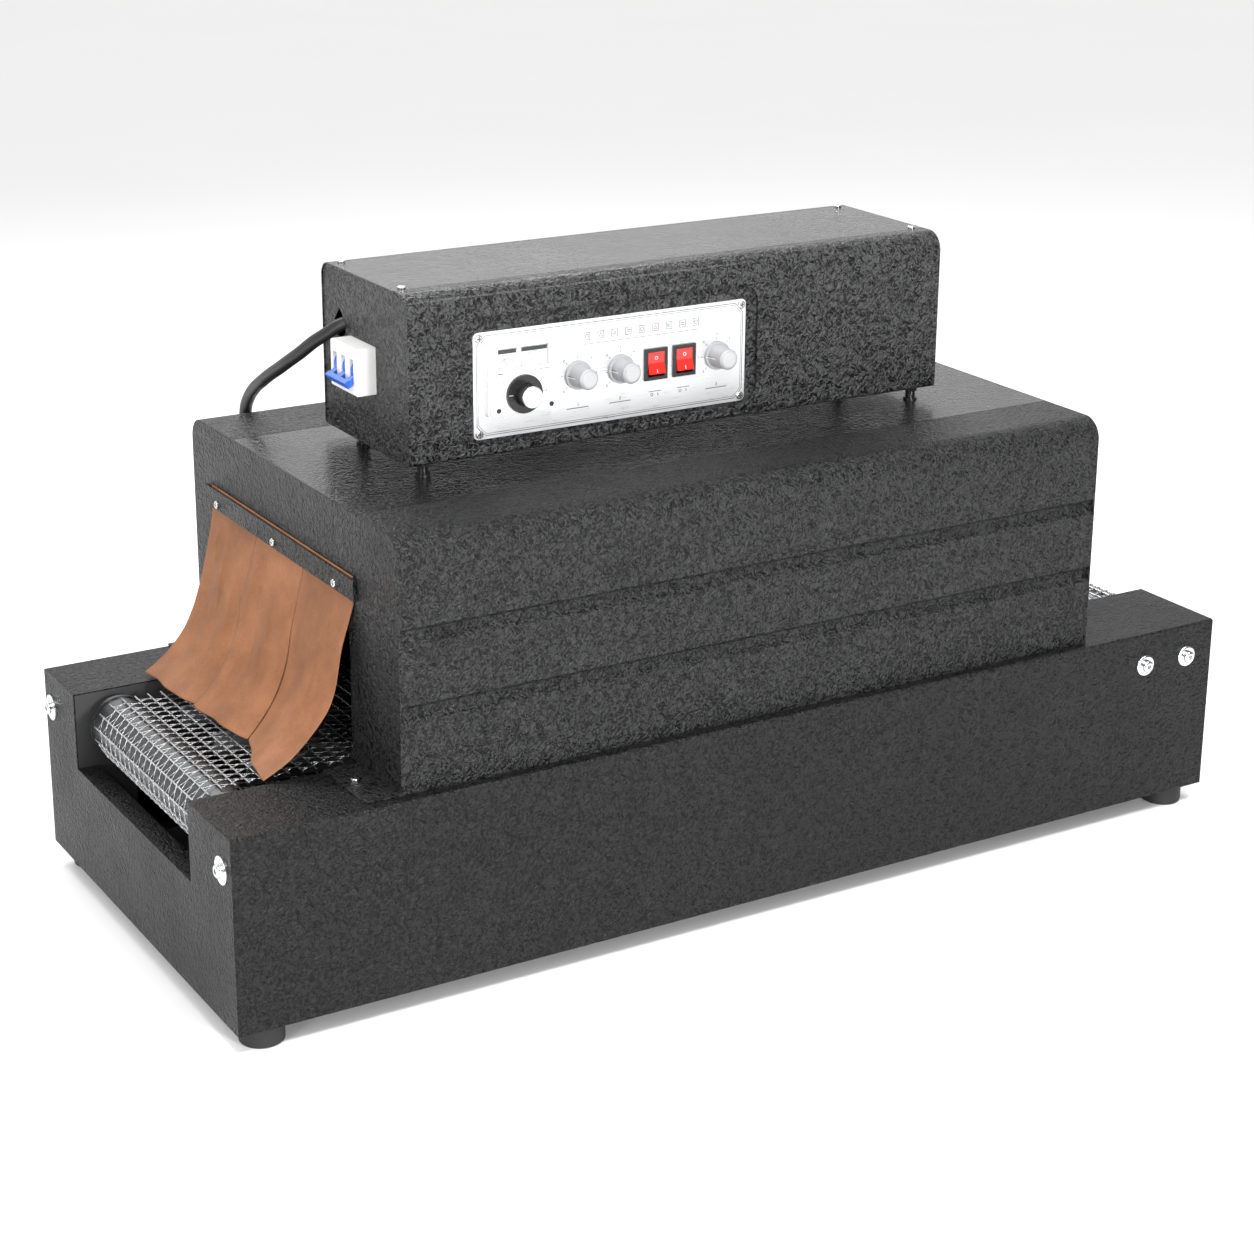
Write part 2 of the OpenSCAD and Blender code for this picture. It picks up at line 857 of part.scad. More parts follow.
module drive_shaft() {
    color("#9a9da1") cross_shaft(drive_x, shaft_r);
}

module tie_rod() {
    color("#9a9da1") cross_shaft(tie_x, tie_r);
}

module take_up_blocks() {
    color("#6d7075") for (i = [-1, 1]) difference() {
        block([block_x, i * take_up_y - block_w / 2, axis_z - block_h / 2],
              [block_x + block_l, i * take_up_y + block_w / 2, axis_z + block_h / 2]);
        bar_y([idler_x, i * take_up_y - block_w, axis_z], shaft_r, 2 * block_w);
        bar_x([block_x - cut, i * take_up_y, axis_z], thread_r + run_gap, thread_engage + thread_spare + cut);
    }
}

// Button-head socket screw along +Z, its head's underside at 0 and its shank below
module socket_screw(len) {
    translate([0, 0, -len]) cylinder(r = thread_r, h = len);
    difference() {
        rotate_extrude() rounded([0, 0], [head_r, head_h], [0, 0, head_h / 2, 0]);
        translate([0, 0, head_h - socket_depth]) cylinder(r = socket_r, h = head_h, $fn = 6);
    }
}

module take_up_screw(y) {
    color("#c3c6ca") translate([-end_x, y, axis_z]) rotate([0, -90, 0]) {
        cylinder(r = washer_r, h = washer_t);
        translate([0, 0, washer_t]) socket_screw(block_x + thread_engage + end_x + washer_t);
    }
}

module take_up_screw_front() {
    take_up_screw(-take_up_y);
}

module take_up_screw_back() {
    take_up_screw(take_up_y);
}

// Domed washer under a socket screw, its back at 0
module frame_bolt() {
    rotate_extrude() rounded([0, 0], [dome_r, dome_t], [0, 0, dome_t - gap, 0]);
    translate([0, 0, dome_t]) socket_screw(dome_t + sheet_t + bolt_depth - cut);
}

module frame_bolts() {
    color("#d0d2d5") for (x = [drive_x, tie_x]) {
        translate([x, -side_y, axis_z]) rotate([90, 0, 0]) frame_bolt();
        translate([x, side_y, axis_z]) rotate([-90, 0, 0]) frame_bolt();
    }
}

module return_roller() {
    y0 = channel_front + 2 * gap;
    y1 = channel_back - 2 * gap;
    color("#b9bcc0") turned_y(return_axis_x, return_axis_z) union() {
        area([0, y0], [return_r, y1]);
        area([0, y0 - frame_t], [journal_r, y1 + frame_t]);
    }
}

// Sprocket of n teeth with a roller seat between teeth, its middle at y = 0
module sprocket(n, pitch_r, hub, hub_len) {
    rotate([-90, 0, 0]) difference() {
        union() {
            translate([0, 0, -tooth_w / 2]) cylinder(r = pitch_r + tooth_rise, h = tooth_w);
            cylinder(r = hub, h = hub_len);
        }
        for (i = [0:n - 1]) rotate([0, 0, turn * i / n])
            translate([pitch_r, 0, -tooth_w]) cylinder(r = chain_roller_r + run_gap, h = 2 * tooth_w);
    }
}

module roller_sprocket() {
    color("#7c7f83") translate([drive_x, sprocket_y, axis_z]) difference() {
        sprocket(roller_teeth, roller_pitch_r, hub_r + sprocket_wall, sprocket_gap / 2);
        bar_y([0, -tooth_w, 0], hub_r, tooth_w + sprocket_gap);
    }
}

module motor_sprocket() {
    color("#7c7f83") translate([motor_x, sprocket_y, motor_z]) {
        sprocket(motor_teeth, motor_pitch_r, sprocket_hub_r, sprocket_gap / 2);
        bar_y([0, 0, 0], motor_shaft_r, sprocket_gap + frame_t + shaft_in);
    }
}

// Outline round two circles whose centres lie d apart on X
module loop(r1, r2, d) {
    a = acos((r1 - r2) / d);
    n = loop_steps;
    polygon(concat(
        [for (i = [0:n]) let (b = a + (turn - 2 * a) * i / n) r1 * [cos(b), sin(b)]],
        [for (i = [0:n]) let (b = -a + 2 * a * i / n) [d, 0] + r2 * [cos(b), sin(b)]]
    ));
}

module drive_chain() {
    d = norm([motor_back, motor_drop]);
    a = acos((roller_pitch_r - motor_pitch_r) / d);
    span = sqrt(pow(d, 2) - pow(roller_pitch_r - motor_pitch_r, 2));
    inner = tooth_w / 2 + gap;
    color("#55585c") translate([drive_x, sprocket_y, axis_z])
        rotate([0, atan2(motor_drop, -motor_back), 0]) rotate([90, 0, 0]) {
            for (z = [inner, -inner - chain_plate_t]) translate([0, 0, z]) linear_extrude(chain_plate_t)
                difference() {
                    loop(roller_pitch_r + chain_half_h, motor_pitch_r + chain_half_h, d);
                    loop(roller_pitch_r - chain_half_h, motor_pitch_r - chain_half_h, d);
                }
            for (s = [-1, 1]) for (t = [2 * chain_pitch:chain_pitch:span - 2 * chain_pitch])
                translate([roller_pitch_r * cos(a) + t * sin(a), s * (roller_pitch_r * sin(a) - t * cos(a)),
                           -inner - chain_plate_t / 2])
                    cylinder(r = chain_roller_r, h = 2 * inner + chain_plate_t);
        }
}

module gear_motor() {
    half = gearbox_w / 2;
    y0 = channel_front;
    y1 = y0 + gearbox_len;
    color("#55606b") difference() {
        union() {
            along_y(y0, y1)
                rounded([motor_x - half, motor_z - half], [motor_x + half, motor_z + half], gearbox_r * four);
            turned_y(motor_x, motor_z) {
                area([0, y1], [motor_d / 2, y1 + motor_len]);
                area([0, y1 + motor_len], [motor_d / 2 - fin_gap, y1 + motor_len + fin_gap]);
            }
        }
        bar_y([motor_x, y0 - cut, motor_z], motor_shaft_r + run_gap, shaft_in + 2 * cut);
        for (i = [1:fin_count]) turned_y(motor_x, motor_z)
            area([motor_d / 2 - fin_gap, y1 + i * 2 * fin_gap], [motor_d, y1 + (i * 2 + 1) * fin_gap]);
    }
}

// Section of a pressed groove, its mouth on the cover's face and its floor sunk by depth
function groove_section(z, depth, grow) = [
    [tunnel_front - cut, z + groove_h / 2 + grow], [tunnel_front + grow / 2, z + groove_h / 2 + grow],
    [tunnel_front + depth, z + groove_h * groove_floor_share / 2 + grow],
    [tunnel_front + depth, z - groove_h * groove_floor_share / 2 - grow],
    [tunnel_front + grow / 2, z - groove_h / 2 - grow], [tunnel_front - cut, z - groove_h / 2 - grow]
];

module tunnel_front_cover() {
    hi = [seam_front - seam / 2, tunnel_top];
    grooves = [base_top + groove_low, base_top + groove_high];
    x0 = entry_x + plate_t;
    x1 = exit_x - plate_t;
    color("#2c2d30") difference() {
        union() {
            along_x(x0, x1) difference() {
                rounded([tunnel_front, base_top], hi, [0, 0, 0, tunnel_r]);
                rounded(
                    [tunnel_front + sheet_t, base_top - cut], hi + [cut, -sheet_t],
                    [0, 0, 0, tunnel_r - sheet_t]
                );
            }
            along_x(x0, x1)
                area([tunnel_front, base_top], [tunnel_front + foot_lip, base_top + sheet_t]);
            for (z = grooves) along_x(x0, x1) intersection() {
                polygon(groove_section(z, groove_depth + sheet_t, sheet_t / 2));
                area([tunnel_front, base_top], [mouth_front, tunnel_top]);
            }
        }
        for (z = grooves) along_x(x0 - cut, x1 + cut) polygon(groove_section(z, groove_depth, 0));
    }
}

module tunnel_back_cover() {
    lo = [seam_back + seam / 2, base_top];
    hi = [tunnel_back, tunnel_top];
    color("#2c2d30") difference() {
        along_x(entry_x + plate_t, exit_x - plate_t) {
            difference() {
                rounded(lo, hi, [0, 0, tunnel_r, 0]);
                rounded(lo - [cut, cut], hi - [sheet_t, sheet_t], [0, 0, tunnel_r - sheet_t, 0]);
            }
            area([tunnel_back - foot_lip, base_top], [tunnel_back, base_top + sheet_t]);
        }
        bar_y([lead_x, tunnel_back - 2 * sheet_t, elbow_z], lead_r + run_gap, 4 * sheet_t);
    }
}

module tunnel_top_plate() {
    y0 = seam_front + seam / 2;
    y1 = seam_back - seam / 2;
    x0 = entry_x + plate_t;
    x1 = exit_x - plate_t;
    color("#303134") {
        block([x0, y0, tunnel_top - sheet_t], [x1, y1, tunnel_top]);
        block([x0, y0, tunnel_top - foot_lip], [x1, y0 + sheet_t, tunnel_top]);
        block([x0, y1 - sheet_t, tunnel_top - foot_lip], [x1, y1, tunnel_top]);
    }
}

// Flat end plate with the mouth cut out
module mouth_plate(x0) {
    along_x(x0, x0 + plate_t) difference() {
        rounded([tunnel_front, base_top], [tunnel_back, tunnel_top], [0, 0, tunnel_r, tunnel_r]);
        rounded([mouth_front, base_top - mouth_r - cut], [mouth_back, mouth_top], [0, 0, mouth_r, mouth_r]);
    }
}

module entry_end_plate() {
    color("#2f3033") difference() {
        union() {
            mouth_plate(entry_x);
            block(
                [entry_x - flange_w, tunnel_front, base_top],
                [entry_x + plate_t, channel_front, base_top + plate_t]
            );
            block(
                [entry_x - flange_w, mouth_back, base_top],
                [entry_x + plate_t, tunnel_back, base_top + plate_t]
            );
        }
        screw_holes(clamp_entry_places);
        screw_holes(flange_places);
    }
}

module exit_end_plate() {
    x0 = exit_x - flange_w;
    lip = foot_lip + gap;
    color("#2f3033") difference() {
        union() {
            mouth_plate(exit_x - plate_t);
            block([x0, tunnel_front + lip, base_top], [exit_x, channel_front, base_top + plate_t]);
            block([x0, mouth_back + lip, base_top], [exit_x, tunnel_back - lip, base_top + plate_t]);
        }
        screw_holes(clamp_exit_places);
    }
}

module heat_chamber() {
    color("#b7b9bb") difference() {
        along_x(entry_x + plate_t, exit_x - plate_t) difference() {
            area([mouth_front - chamber_t, base_top], [mouth_back + chamber_t, chamber_top]);
            area([mouth_front, base_top - cut], [mouth_back, chamber_top - chamber_t]);
        }
        for (x = heater_x)
            bar_y([x, mouth_front - 2 * cut, heater_z], heater_d / 2 + run_gap, mouth_w + 4 * cut);
        translate([probe_x, mouth_y, chamber_top - 2 * cut]) cylinder(r = probe_r + run_gap, h = 4 * cut);
    }
}

module insulation_wool() {
    in = chamber_t + gap;
    color("#c9b98a") difference() {
        along_x(entry_x + plate_t + wool_end, exit_x - plate_t - wool_end) difference() {
            area(
                [mouth_front - in - wool_t, base_top + foot_lip],
                [mouth_back + in + wool_t, chamber_top + gap + wool_top_t]
            );
            area([mouth_front - in, base_top], [mouth_back + in, chamber_top + gap]);
        }
        for (x = heater_x)
            bar_y([x, mouth_front - 2 * wool_t, heater_z], heater_cap_r + gap, mouth_w + 4 * wool_t);
        translate([probe_x, mouth_y, chamber_top]) cylinder(r = probe_head_r + gap, h = 2 * wool_top_t);
    }
}

module heater_tubes() {
    y0 = mouth_front - chamber_t;
    y1 = mouth_back + chamber_t;
    color("#e8e2d4") for (x = heater_x) turned_y(x, heater_z) {
        area([0, y0 - heater_tail], [heater_d / 2, y1 + heater_tail]);
        area([0, y0 - heater_tail], [heater_cap_r, y0 - gap]);
        area([0, y1 + gap], [heater_cap_r, y1 + heater_tail]);
    }
}

module thermocouple() {
    color("#c8cacc") translate([probe_x, mouth_y, 0]) {
        translate([0, 0, chamber_top - probe_drop]) cylinder(r = probe_r, h = probe_drop);
        translate([0, 0, chamber_top]) cylinder(r = probe_head_r, h = probe_head_h);
        translate([0, 0, chamber_top + probe_head_h]) cylinder(r = probe_r, h = probe_rise - probe_head_h);
    }
}

module clamp_bars() {
    y0 = mouth_y - bar_len / 2;
    color("#2a2b2e") difference() {
        union() {
            block([entry_x - cloth_t - bar_t, y0, bar_z], [entry_x - cloth_t, y0 + bar_len, bar_z + bar_h]);
            block([exit_x + cloth_t, y0, bar_z], [exit_x + cloth_t + bar_t, y0 + bar_len, bar_z + bar_h]);
        }
        screw_holes(clamp_entry_places);
        screw_holes(clamp_exit_places);
    }
}

// Top hem of each curtain, held between the clamp bar and the end plate
module curtain_hems() {
    color("#b5744a") difference() {
        for (x = [entry_x - cloth_t, exit_x])
            block(
                [x, curtain_front, mouth_top],
                [x + cloth_t, curtain_front + curtain_w, mouth_top + hem_up]
            );
        screw_holes(clamp_entry_places);
        screw_holes(clamp_exit_places);
    }
}

// Middle surface of a hanging curtain: row j of the drop, y across, trailing by reach
function cloth_line(j, y, reach) =
    let (wave = sin(turn * (y - curtain_front) / curtain_w * fold_count))
    [
        trail_share[j] * reach + fold * drop_share[j] * (1 - drop_share[j]) * 2 * (1 + wave),
        -flap_drop * drop_share[j]
    ];

// Unit normal of that line at row j, pointing outward
function cloth_normal(j, y, reach) =
    let (
        a = cloth_line(max(j - 1, 0), y, reach),
        b = cloth_line(min(j + 1, len(drop_share) - 1), y, reach),
        d = (b - a) / norm(b - a)
    )
    [-d[1], d[0]];

// Strip of curtain as a closed sheet, side 1 towards +X and -1 towards -X from x
module cloth_strip(x, side, index, reach) {
    rows = len(drop_share);
    cols = flap_cols + 1;
    y0 = curtain_front + index * (strip_w + slit);
    points = [
        for (face = [-1, 1]) for (j = [0:rows - 1]) for (k = [0:cols - 1])
        let (
            y = y0 + strip_w * k / flap_cols,
            p = cloth_line(j, y, reach) + face * cloth_t / 2 * cloth_normal(j, y, reach)
        )
        [x + side * p[0], y, flap_top + p[1]]
    ];
    n = rows * cols;
    grid = [for (j = [0:rows - 2]) for (k = [0:cols - 2]) j * cols + k];
    inner = [for (g = grid) each [[g, g + 1, g + cols], [g + 1, g + cols + 1, g + cols]]];
    outer = [for (f = inner) [f[2] + n, f[1] + n, f[0] + n]];
    sides = concat(
        [for (j = [0:rows - 2]) each rim_faces(j * cols, (j + 1) * cols, n)],
        [for (j = [0:rows - 2]) each rim_faces((j + 2) * cols - 1, (j + 1) * cols - 1, n)],
        [for (k = [0:cols - 2]) each rim_faces(k + 1, k, n)],
        [for (k = [0:cols - 2]) each rim_faces((rows - 1) * cols + k, (rows - 1) * cols + k + 1, n)]
    );
    faces = concat(inner, outer, sides);
    polyhedron(points, side < 0 ? faces : [for (f = faces) [f[2], f[1], f[0]]]);
}

// Two faces that close the sheet's edge between points a and b of the inner side
function rim_faces(a, b, n) = [[a, b, b + n], [a, b + n, a + n]];

module entry_strip(index) {
    color("#b5744a") cloth_strip(entry_x - cloth_t / 2 - gap, -1, index, trail);
}

module exit_strip(index) {
    color("#b5744a") cloth_strip(exit_x + cloth_t / 2 + gap, 1, index, exit_trail);
}

module entry_strip_front() {
    entry_strip(0);
}

module entry_strip_middle() {
    entry_strip(1);
}

module entry_strip_back() {
    entry_strip(2);
}

module exit_strip_front() {
    exit_strip(0);
}

module exit_strip_middle() {
    exit_strip(1);
}

module exit_strip_back() {
    exit_strip(2);
}

// Control box outline drawn in by a distance
module box_outline(in) {
    rounded([box_front + in, box_z + in], [box_back - in, box_top - in],
            [box_low_r, box_low_r, box_back_r, box_r] - in * four);
}

// Sunk lips that carry the top cover
module cover_lips() {
    for (y = [box_seam_y, cover_back - cover_lip + sheet_t])
        area([y - sheet_t, box_top - cover_t - sheet_t], [y + cover_lip, box_top - cover_t]);
}

// Rounded outline about the panel, grown by a side, bottom and top margin
module panel_outline(side, below, above, r) {
    rounded([plate_x - panel_w / 2 - side, plate_z - panel_h / 2 - below],
            [plate_x + panel_w / 2 + side, plate_z + panel_h / 2 + above], r * four);
}

module control_shell() {
    pan_y = recess_floor_y + sheet_t;
    color("#333438") difference() {
        union() {
            along_x(box_left, box_right) {
                difference() {
                    box_outline(0);
                    box_outline(sheet_t);
                    area([box_seam_y, box_top - 2 * sheet_t], [cover_back, box_top + cut]);
                }
                cover_lips();
            }
            along_y(box_front, pan_y)
                panel_outline(
                    recess_side + sheet_t, recess_below + sheet_t, recess_above + sheet_t, recess_r + sheet_t
                );
        }
        along_y(box_front - cut, recess_floor_y)
            panel_outline(recess_side, recess_below, recess_above, recess_r);
        along_y(box_front, pan_y + cut) panel_outline(-panel_lap, -panel_lap, -panel_lap, panel_corner_r);
        screw_holes(panel_places);
        screw_holes(cover_places);
        slot_row(box_right - 2 * slot_count * slot_pitch, box_back, box_z + box_h / 2, slot_count);
    }
}

module control_end_plates() {
    inset = seam;
    color("#303134") for (x = [box_left + inset, box_right - inset - sheet_t])
    along_x(x, x + sheet_t) difference() {
        box_outline(sheet_t);
        cover_lips();
        if (x < box_x) {
            translate([hole_y, hole_z]) circle(r = hole_r);
            polygon([
                [hole_y - hole_r * sin(45), hole_z + hole_r * sin(45)], [hole_y, hole_z + hole_r / sin(45)],
                [hole_y + hole_r * sin(45), hole_z + hole_r * sin(45)]
            ]);
            area([breaker_y - breaker_w / 2 - gap, breaker_z - breaker_h / 2 - gap],
                 [breaker_y + breaker_w / 2 + gap, breaker_z + breaker_h / 2 + gap]);
        }
    }
}

module control_top_cover() {
    color("#3a3b3f") difference() {
        block(
            [box_left, box_seam_y + seam / 2, box_top - cover_t],
            [box_right, cover_back - seam / 2, box_top]
        );
        screw_holes(cover_places);
    }
}

module standoffs() {
    color("#1c1d1f") for (x = [box_left + standoff_in_x, box_right - standoff_in_x])
        for (y = [box_front + standoff_front_in, box_back - standoff_back_in]) translate([x, y, tunnel_top]) {
            cylinder(r = standoff_d / 2 - nut_h / 2, h = standoff_h);
            cylinder(r = standoff_d / 2, h = nut_h / 2);
            translate([0, 0, standoff_h - nut_h]) cylinder(r = standoff_d / 2, h = nut_h, $fn = 6);
        }
}

module panel_plate() {
    body_half = controller_w / 2 - controller_r;
    open_w = bezel_w / 2 - bezel_lap;
    open_h = bezel_h / 2 - bezel_lap;
    color("#d3d5d8") difference() {
        along_y(panel_y, panel_back_y) difference() {
            panel_outline(0, 0, 0, panel_corner_r);
            for (x = knob_x) translate([x, knob_row_z]) circle(r = spindle_hole_r);
            for (x = rocker_x) area([x - open_w, knob_row_z - open_h], [x + open_w, knob_row_z + open_h]);
            area([controller_x - body_half, controller_z - body_half],
                 [controller_x + body_half, controller_z + body_half]);
        }
        screw_holes(panel_places);
    }
}

module controller_case() {
    half = controller_w / 2;
    c = [controller_x, controller_z];
    step = controller_r * [1, 1];
    window_c = c + [0, window_rise];
    window_half = [window_w, window_h] / 2;
    color("#dcdcda") difference() {
        union() {
            along_y(controller_y + bezel_step, panel_y)
                rounded(c - half * [1, 1], c + half * [1, 1], controller_r * four);
            along_y(controller_y, controller_y + bezel_step)
                rounded(c - half * [1, 1] + step / 2, c + half * [1, 1] - step / 2, controller_r * four);
            along_y(panel_y, panel_y + controller_deep)
                area(c - half * [1, 1] + step, c + half * [1, 1] - step);
        }
        along_y(controller_y - cut, controller_y + window_depth)
            area(window_c - window_half, window_c + window_half);
        bar_y([controller_x, controller_y - cut, dial_z], spindle_hole_r, spindle_l + 2 * cut);
    }
}

// Turned knob with its back at 0, a spindle below and a pointer groove towards -X
module turned_knob(skirt, grip, cap, rise, low) {
    difference() {
        rotate_extrude() polygon([[0, 0], [skirt, 0], [skirt, low], [grip, low], [cap, rise - low / 2],
                                  [cap - low / 2, rise], [0, rise]]);
        block(
            [-skirt - cut, -pointer_w / 2, low - pointer_w],
            [-cap * pointer_share, pointer_w / 2, rise / 2]
        );
    }
    translate([0, 0, -spindle_l]) cylinder(r = spindle_r, h = spindle_l);
}

module controller_dial() {
    r = dial_d / 2;
    color("#1d1e20") translate([controller_x, controller_y - gap, dial_z]) rotate([90, 0, 0])
        turned_knob(r, r * dial_grip_share, r * dial_cap_share, dial_h, skirt_h);
}

module panel_knob(i) {
    r = knob_d / 2;
    color("#8f9296") translate([knob_x[i], panel_y - gap, knob_row_z]) rotate([90, 0, 0])
        turned_knob(r, r * knob_grip_share, r * knob_cap_share, knob_h, skirt_h);
}

module left_knob() {
    panel_knob(0);
}

module middle_knob() {
    panel_knob(1);
}

module right_knob() {
    panel_knob(2);
}

module switch_bezels() {
    half = [bezel_w, bezel_h] / 2;
    lap = bezel_lap * [1, 1];
    wall = bezel_wall * [1, 1];
    color("#1a1b1c") for (x = rocker_x) {
        c = [x, knob_row_z];
        difference() {
            union() {
                along_y(panel_y - bezel_t, panel_y) area(c - half, c + half);
                along_y(panel_y, panel_y + bezel_body) area(c - half + lap, c + half - lap);
            }
            along_y(panel_y - bezel_t - cut, panel_y + bezel_body - bezel_wall)
                area(c - half + wall, c + half - wall);
        }
    }
}

module rocker(i) {
    w = bezel_w / 2 - bezel_wall - gap;
    h = bezel_h / 2 - bezel_wall - rocker_side;
    front = bezel_t + rocker_deep + rocker_proud;
    color("#d8231f") translate([rocker_x[i], panel_y + rocker_deep, knob_row_z]) rotate([-rocker_tilt, 0, 0])
        along_x(-w, w)
            polygon([
                [-front, -h], [rocker_dish - front, 0], [-front, h],
                [rocker_back, h], [rocker_back, -h]
            ]);
}

module left_rocker() {
    rocker(0);
}

module right_rocker() {
    rocker(1);
}

module breaker_body() {
    face_x = box_left - breaker_out;
    y0 = breaker_y - breaker_w / 2;
    inner_x = box_left + seam + sheet_t;
    pole = breaker_w / 3;
    color("#e6e6e4") difference() {
        union() {
            along_y(y0, y0 + breaker_w)
                rounded([face_x, breaker_z - breaker_h / 2], [inner_x + cut, breaker_z + breaker_h / 2],
                        [breaker_edge_r, 0, 0, breaker_edge_r]);
            block([inner_x, y0, breaker_z - breaker_body_h / 2],
                  [inner_x + breaker_body_d, y0 + breaker_w, breaker_z + breaker_body_h / 2]);
        }
        for (i = [0:2]) {
            y = y0 + (i + 1 / 2) * pole;
            block([face_x - cut, y - toggle_slot_w / 2, breaker_z - toggle_slot_h / 2],
                  [face_x + 2 * toggle_r, y + toggle_slot_w / 2, breaker_z + toggle_slot_h / 2]);
        }
        for (i = [1, 2])
            block([face_x - cut, y0 + i * pole - gap, breaker_z - breaker_h],
                  [face_x + seam, y0 + i * pole + gap, breaker_z + breaker_h]);
    }
}

module breaker_lever() {
    pole = breaker_w / 3;
    pivot_x = box_left - breaker_out + toggle_r;
    color("#1f5bb5") translate([pivot_x, breaker_y, breaker_z]) rotate([0, -toggle_drop_angle, 0]) {
        for (i = [-1:1]) {
            bar_y([0, i * pole - toggle_w / 2, 0], toggle_r - 2 * gap, toggle_w);
            block(
                [-toggle_reach, i * pole - toggle_w / 2, -toggle_t / 2],
                [0, i * pole + toggle_w / 2, toggle_t / 2]
            );
        }
        block([-toggle_reach - toggle_t, -pole - toggle_w / 2, -toggle_bar_h / 2],
              [-toggle_reach, pole + toggle_w / 2, toggle_bar_h / 2]);
    }
}

// Ring of points round route point i, square to the route there
function lead_ring(i) =
    let (
        n = len(lead_route),
        d = lead_route[min(i + 1, n - 1)] - lead_route[max(i - 1, 0)],
        t = d / norm(d),
        across = cross(t, [1, 0, 0]),
        u = across / norm(across),
        v = cross(t, u)
    )
    [
        for (k = [0:lead_sides - 1])
        lead_route[i] + lead_r * (cos(turn * k / lead_sides) * u + sin(turn * k / lead_sides) * v)
    ];

module wiring_lead() {
    n = len(lead_route);
    s = lead_sides;
    points = [for (i = [0:n - 1]) each lead_ring(i)];
    walls = [
        for (i = [0:n - 2]) for (k = [0:s - 1])
        let (a = i * s + k, b = i * s + (k + 1) % s)
        each [[a, b + s, b], [a, a + s, b + s]]
    ];
    ends = [for (k = [1:s - 2]) each [[0, k, k + 1], [(n - 1) * s, (n - 1) * s + k + 1, (n - 1) * s + k]]];
    color("#151617") polyhedron(points, concat(walls, ends));
}

module lead_elbow() {
    y = tunnel_back + elbow_out;
    color("#1b1c1e") {
        translate([lead_x, y, elbow_z]) cylinder(r = elbow_r, h = elbow_h);
        translate([lead_x, y, elbow_z]) sphere(r = elbow_r);
        bar_y([lead_x, tunnel_back, elbow_z], elbow_r, elbow_out);
        bar_y([lead_x, tunnel_back, elbow_z], elbow_flange_r, elbow_flange_t);
        bar_y([lead_x, tunnel_back - elbow_out, elbow_z], lead_r, elbow_out);
    }
}

module pan_screws() {
    places = concat(
        clamp_entry_places, clamp_exit_places, flange_places,
        cover_places, panel_places, foot_places
    );
    color("#b8bbbf") for (p = places) translate(p[0]) rotate(p[1]) {
        rotate_extrude() rounded([0, 0], [screw_head_r, screw_head_h], [0, 0, screw_head_h / 2, 0]);
        translate([0, 0, -screw_l]) cylinder(r = screw_r, h = screw_l);
    }
}

base_front_panel();
base_back_panel();
base_end_panels();
bottom_plate();
rubber_feet();
side_frames();
belt_bed();
belt_rods();
belt_links();
idler_roller();
idler_bearings();
idler_shaft();
take_up_blocks();
take_up_screw_front();
take_up_screw_back();
drive_roller();
drive_bearings();
drive_shaft();
roller_sprocket();
tie_rod();
frame_bolts();
return_roller();
drive_chain();
gear_motor();
motor_sprocket();
tunnel_front_cover();
tunnel_back_cover();
tunnel_top_plate();
entry_end_plate();
exit_end_plate();
heat_chamber();
insulation_wool();
heater_tubes();
thermocouple();
clamp_bars();
curtain_hems();
entry_strip_front();
entry_strip_middle();
entry_strip_back();
exit_strip_front();
exit_strip_middle();
exit_strip_back();
control_shell();
control_end_plates();
control_top_cover();
standoffs();
panel_plate();
controller_case();
controller_dial();
left_knob();
middle_knob();
right_knob();
switch_bezels();
left_rocker();
right_rocker();
breaker_body();
breaker_lever();
wiring_lead();
lead_elbow();
pan_screws();
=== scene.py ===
import math

import bpy
import numpy as np
from mathutils import Matrix, Vector
from mathutils.bvhtree import BVHTree


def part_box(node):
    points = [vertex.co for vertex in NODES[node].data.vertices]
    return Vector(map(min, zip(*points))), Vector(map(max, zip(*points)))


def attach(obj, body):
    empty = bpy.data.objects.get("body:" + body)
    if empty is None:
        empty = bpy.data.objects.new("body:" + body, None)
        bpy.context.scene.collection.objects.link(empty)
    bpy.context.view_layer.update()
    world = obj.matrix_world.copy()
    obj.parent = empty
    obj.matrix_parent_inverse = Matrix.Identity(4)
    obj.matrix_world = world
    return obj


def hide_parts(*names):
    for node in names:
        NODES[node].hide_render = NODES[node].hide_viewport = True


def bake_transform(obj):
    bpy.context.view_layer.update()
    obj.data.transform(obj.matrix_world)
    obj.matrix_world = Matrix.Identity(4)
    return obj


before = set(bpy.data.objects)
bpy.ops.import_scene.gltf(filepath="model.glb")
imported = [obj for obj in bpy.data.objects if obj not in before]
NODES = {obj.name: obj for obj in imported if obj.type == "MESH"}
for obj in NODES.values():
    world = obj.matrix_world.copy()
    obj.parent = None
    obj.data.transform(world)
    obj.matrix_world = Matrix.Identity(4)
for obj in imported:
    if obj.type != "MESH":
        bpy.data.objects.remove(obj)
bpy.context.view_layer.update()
MM = 0.001
HOUSING = "housing"


# ---------------------------------------------------------------- materials
def new_material(name):
    m = bpy.data.materials.new(name)
    m.use_nodes = True
    tree = m.node_tree
    return m, tree, tree.nodes["Principled BSDF"]


def link(tree, a, b):
    tree.links.new(a, b)


def object_coords(tree, scale=(1, 1, 1)):
    coord = tree.nodes.new("ShaderNodeTexCoord")
    mapping = tree.nodes.new("ShaderNodeMapping")
    mapping.inputs["Scale"].default_value = scale
    link(tree, coord.outputs["Object"], mapping.inputs["Vector"])
    return mapping.outputs["Vector"]


def noise(tree, vector, scale, detail=2.0, rough=0.5, distortion=0.0):
    n = tree.nodes.new("ShaderNodeTexNoise")
    n.inputs["Scale"].default_value = scale
    n.inputs["Detail"].default_value = detail
    n.inputs["Roughness"].default_value = rough
    n.inputs["Distortion"].default_value = distortion
    link(tree, vector, n.inputs["Vector"])
    return n.outputs["Fac"]


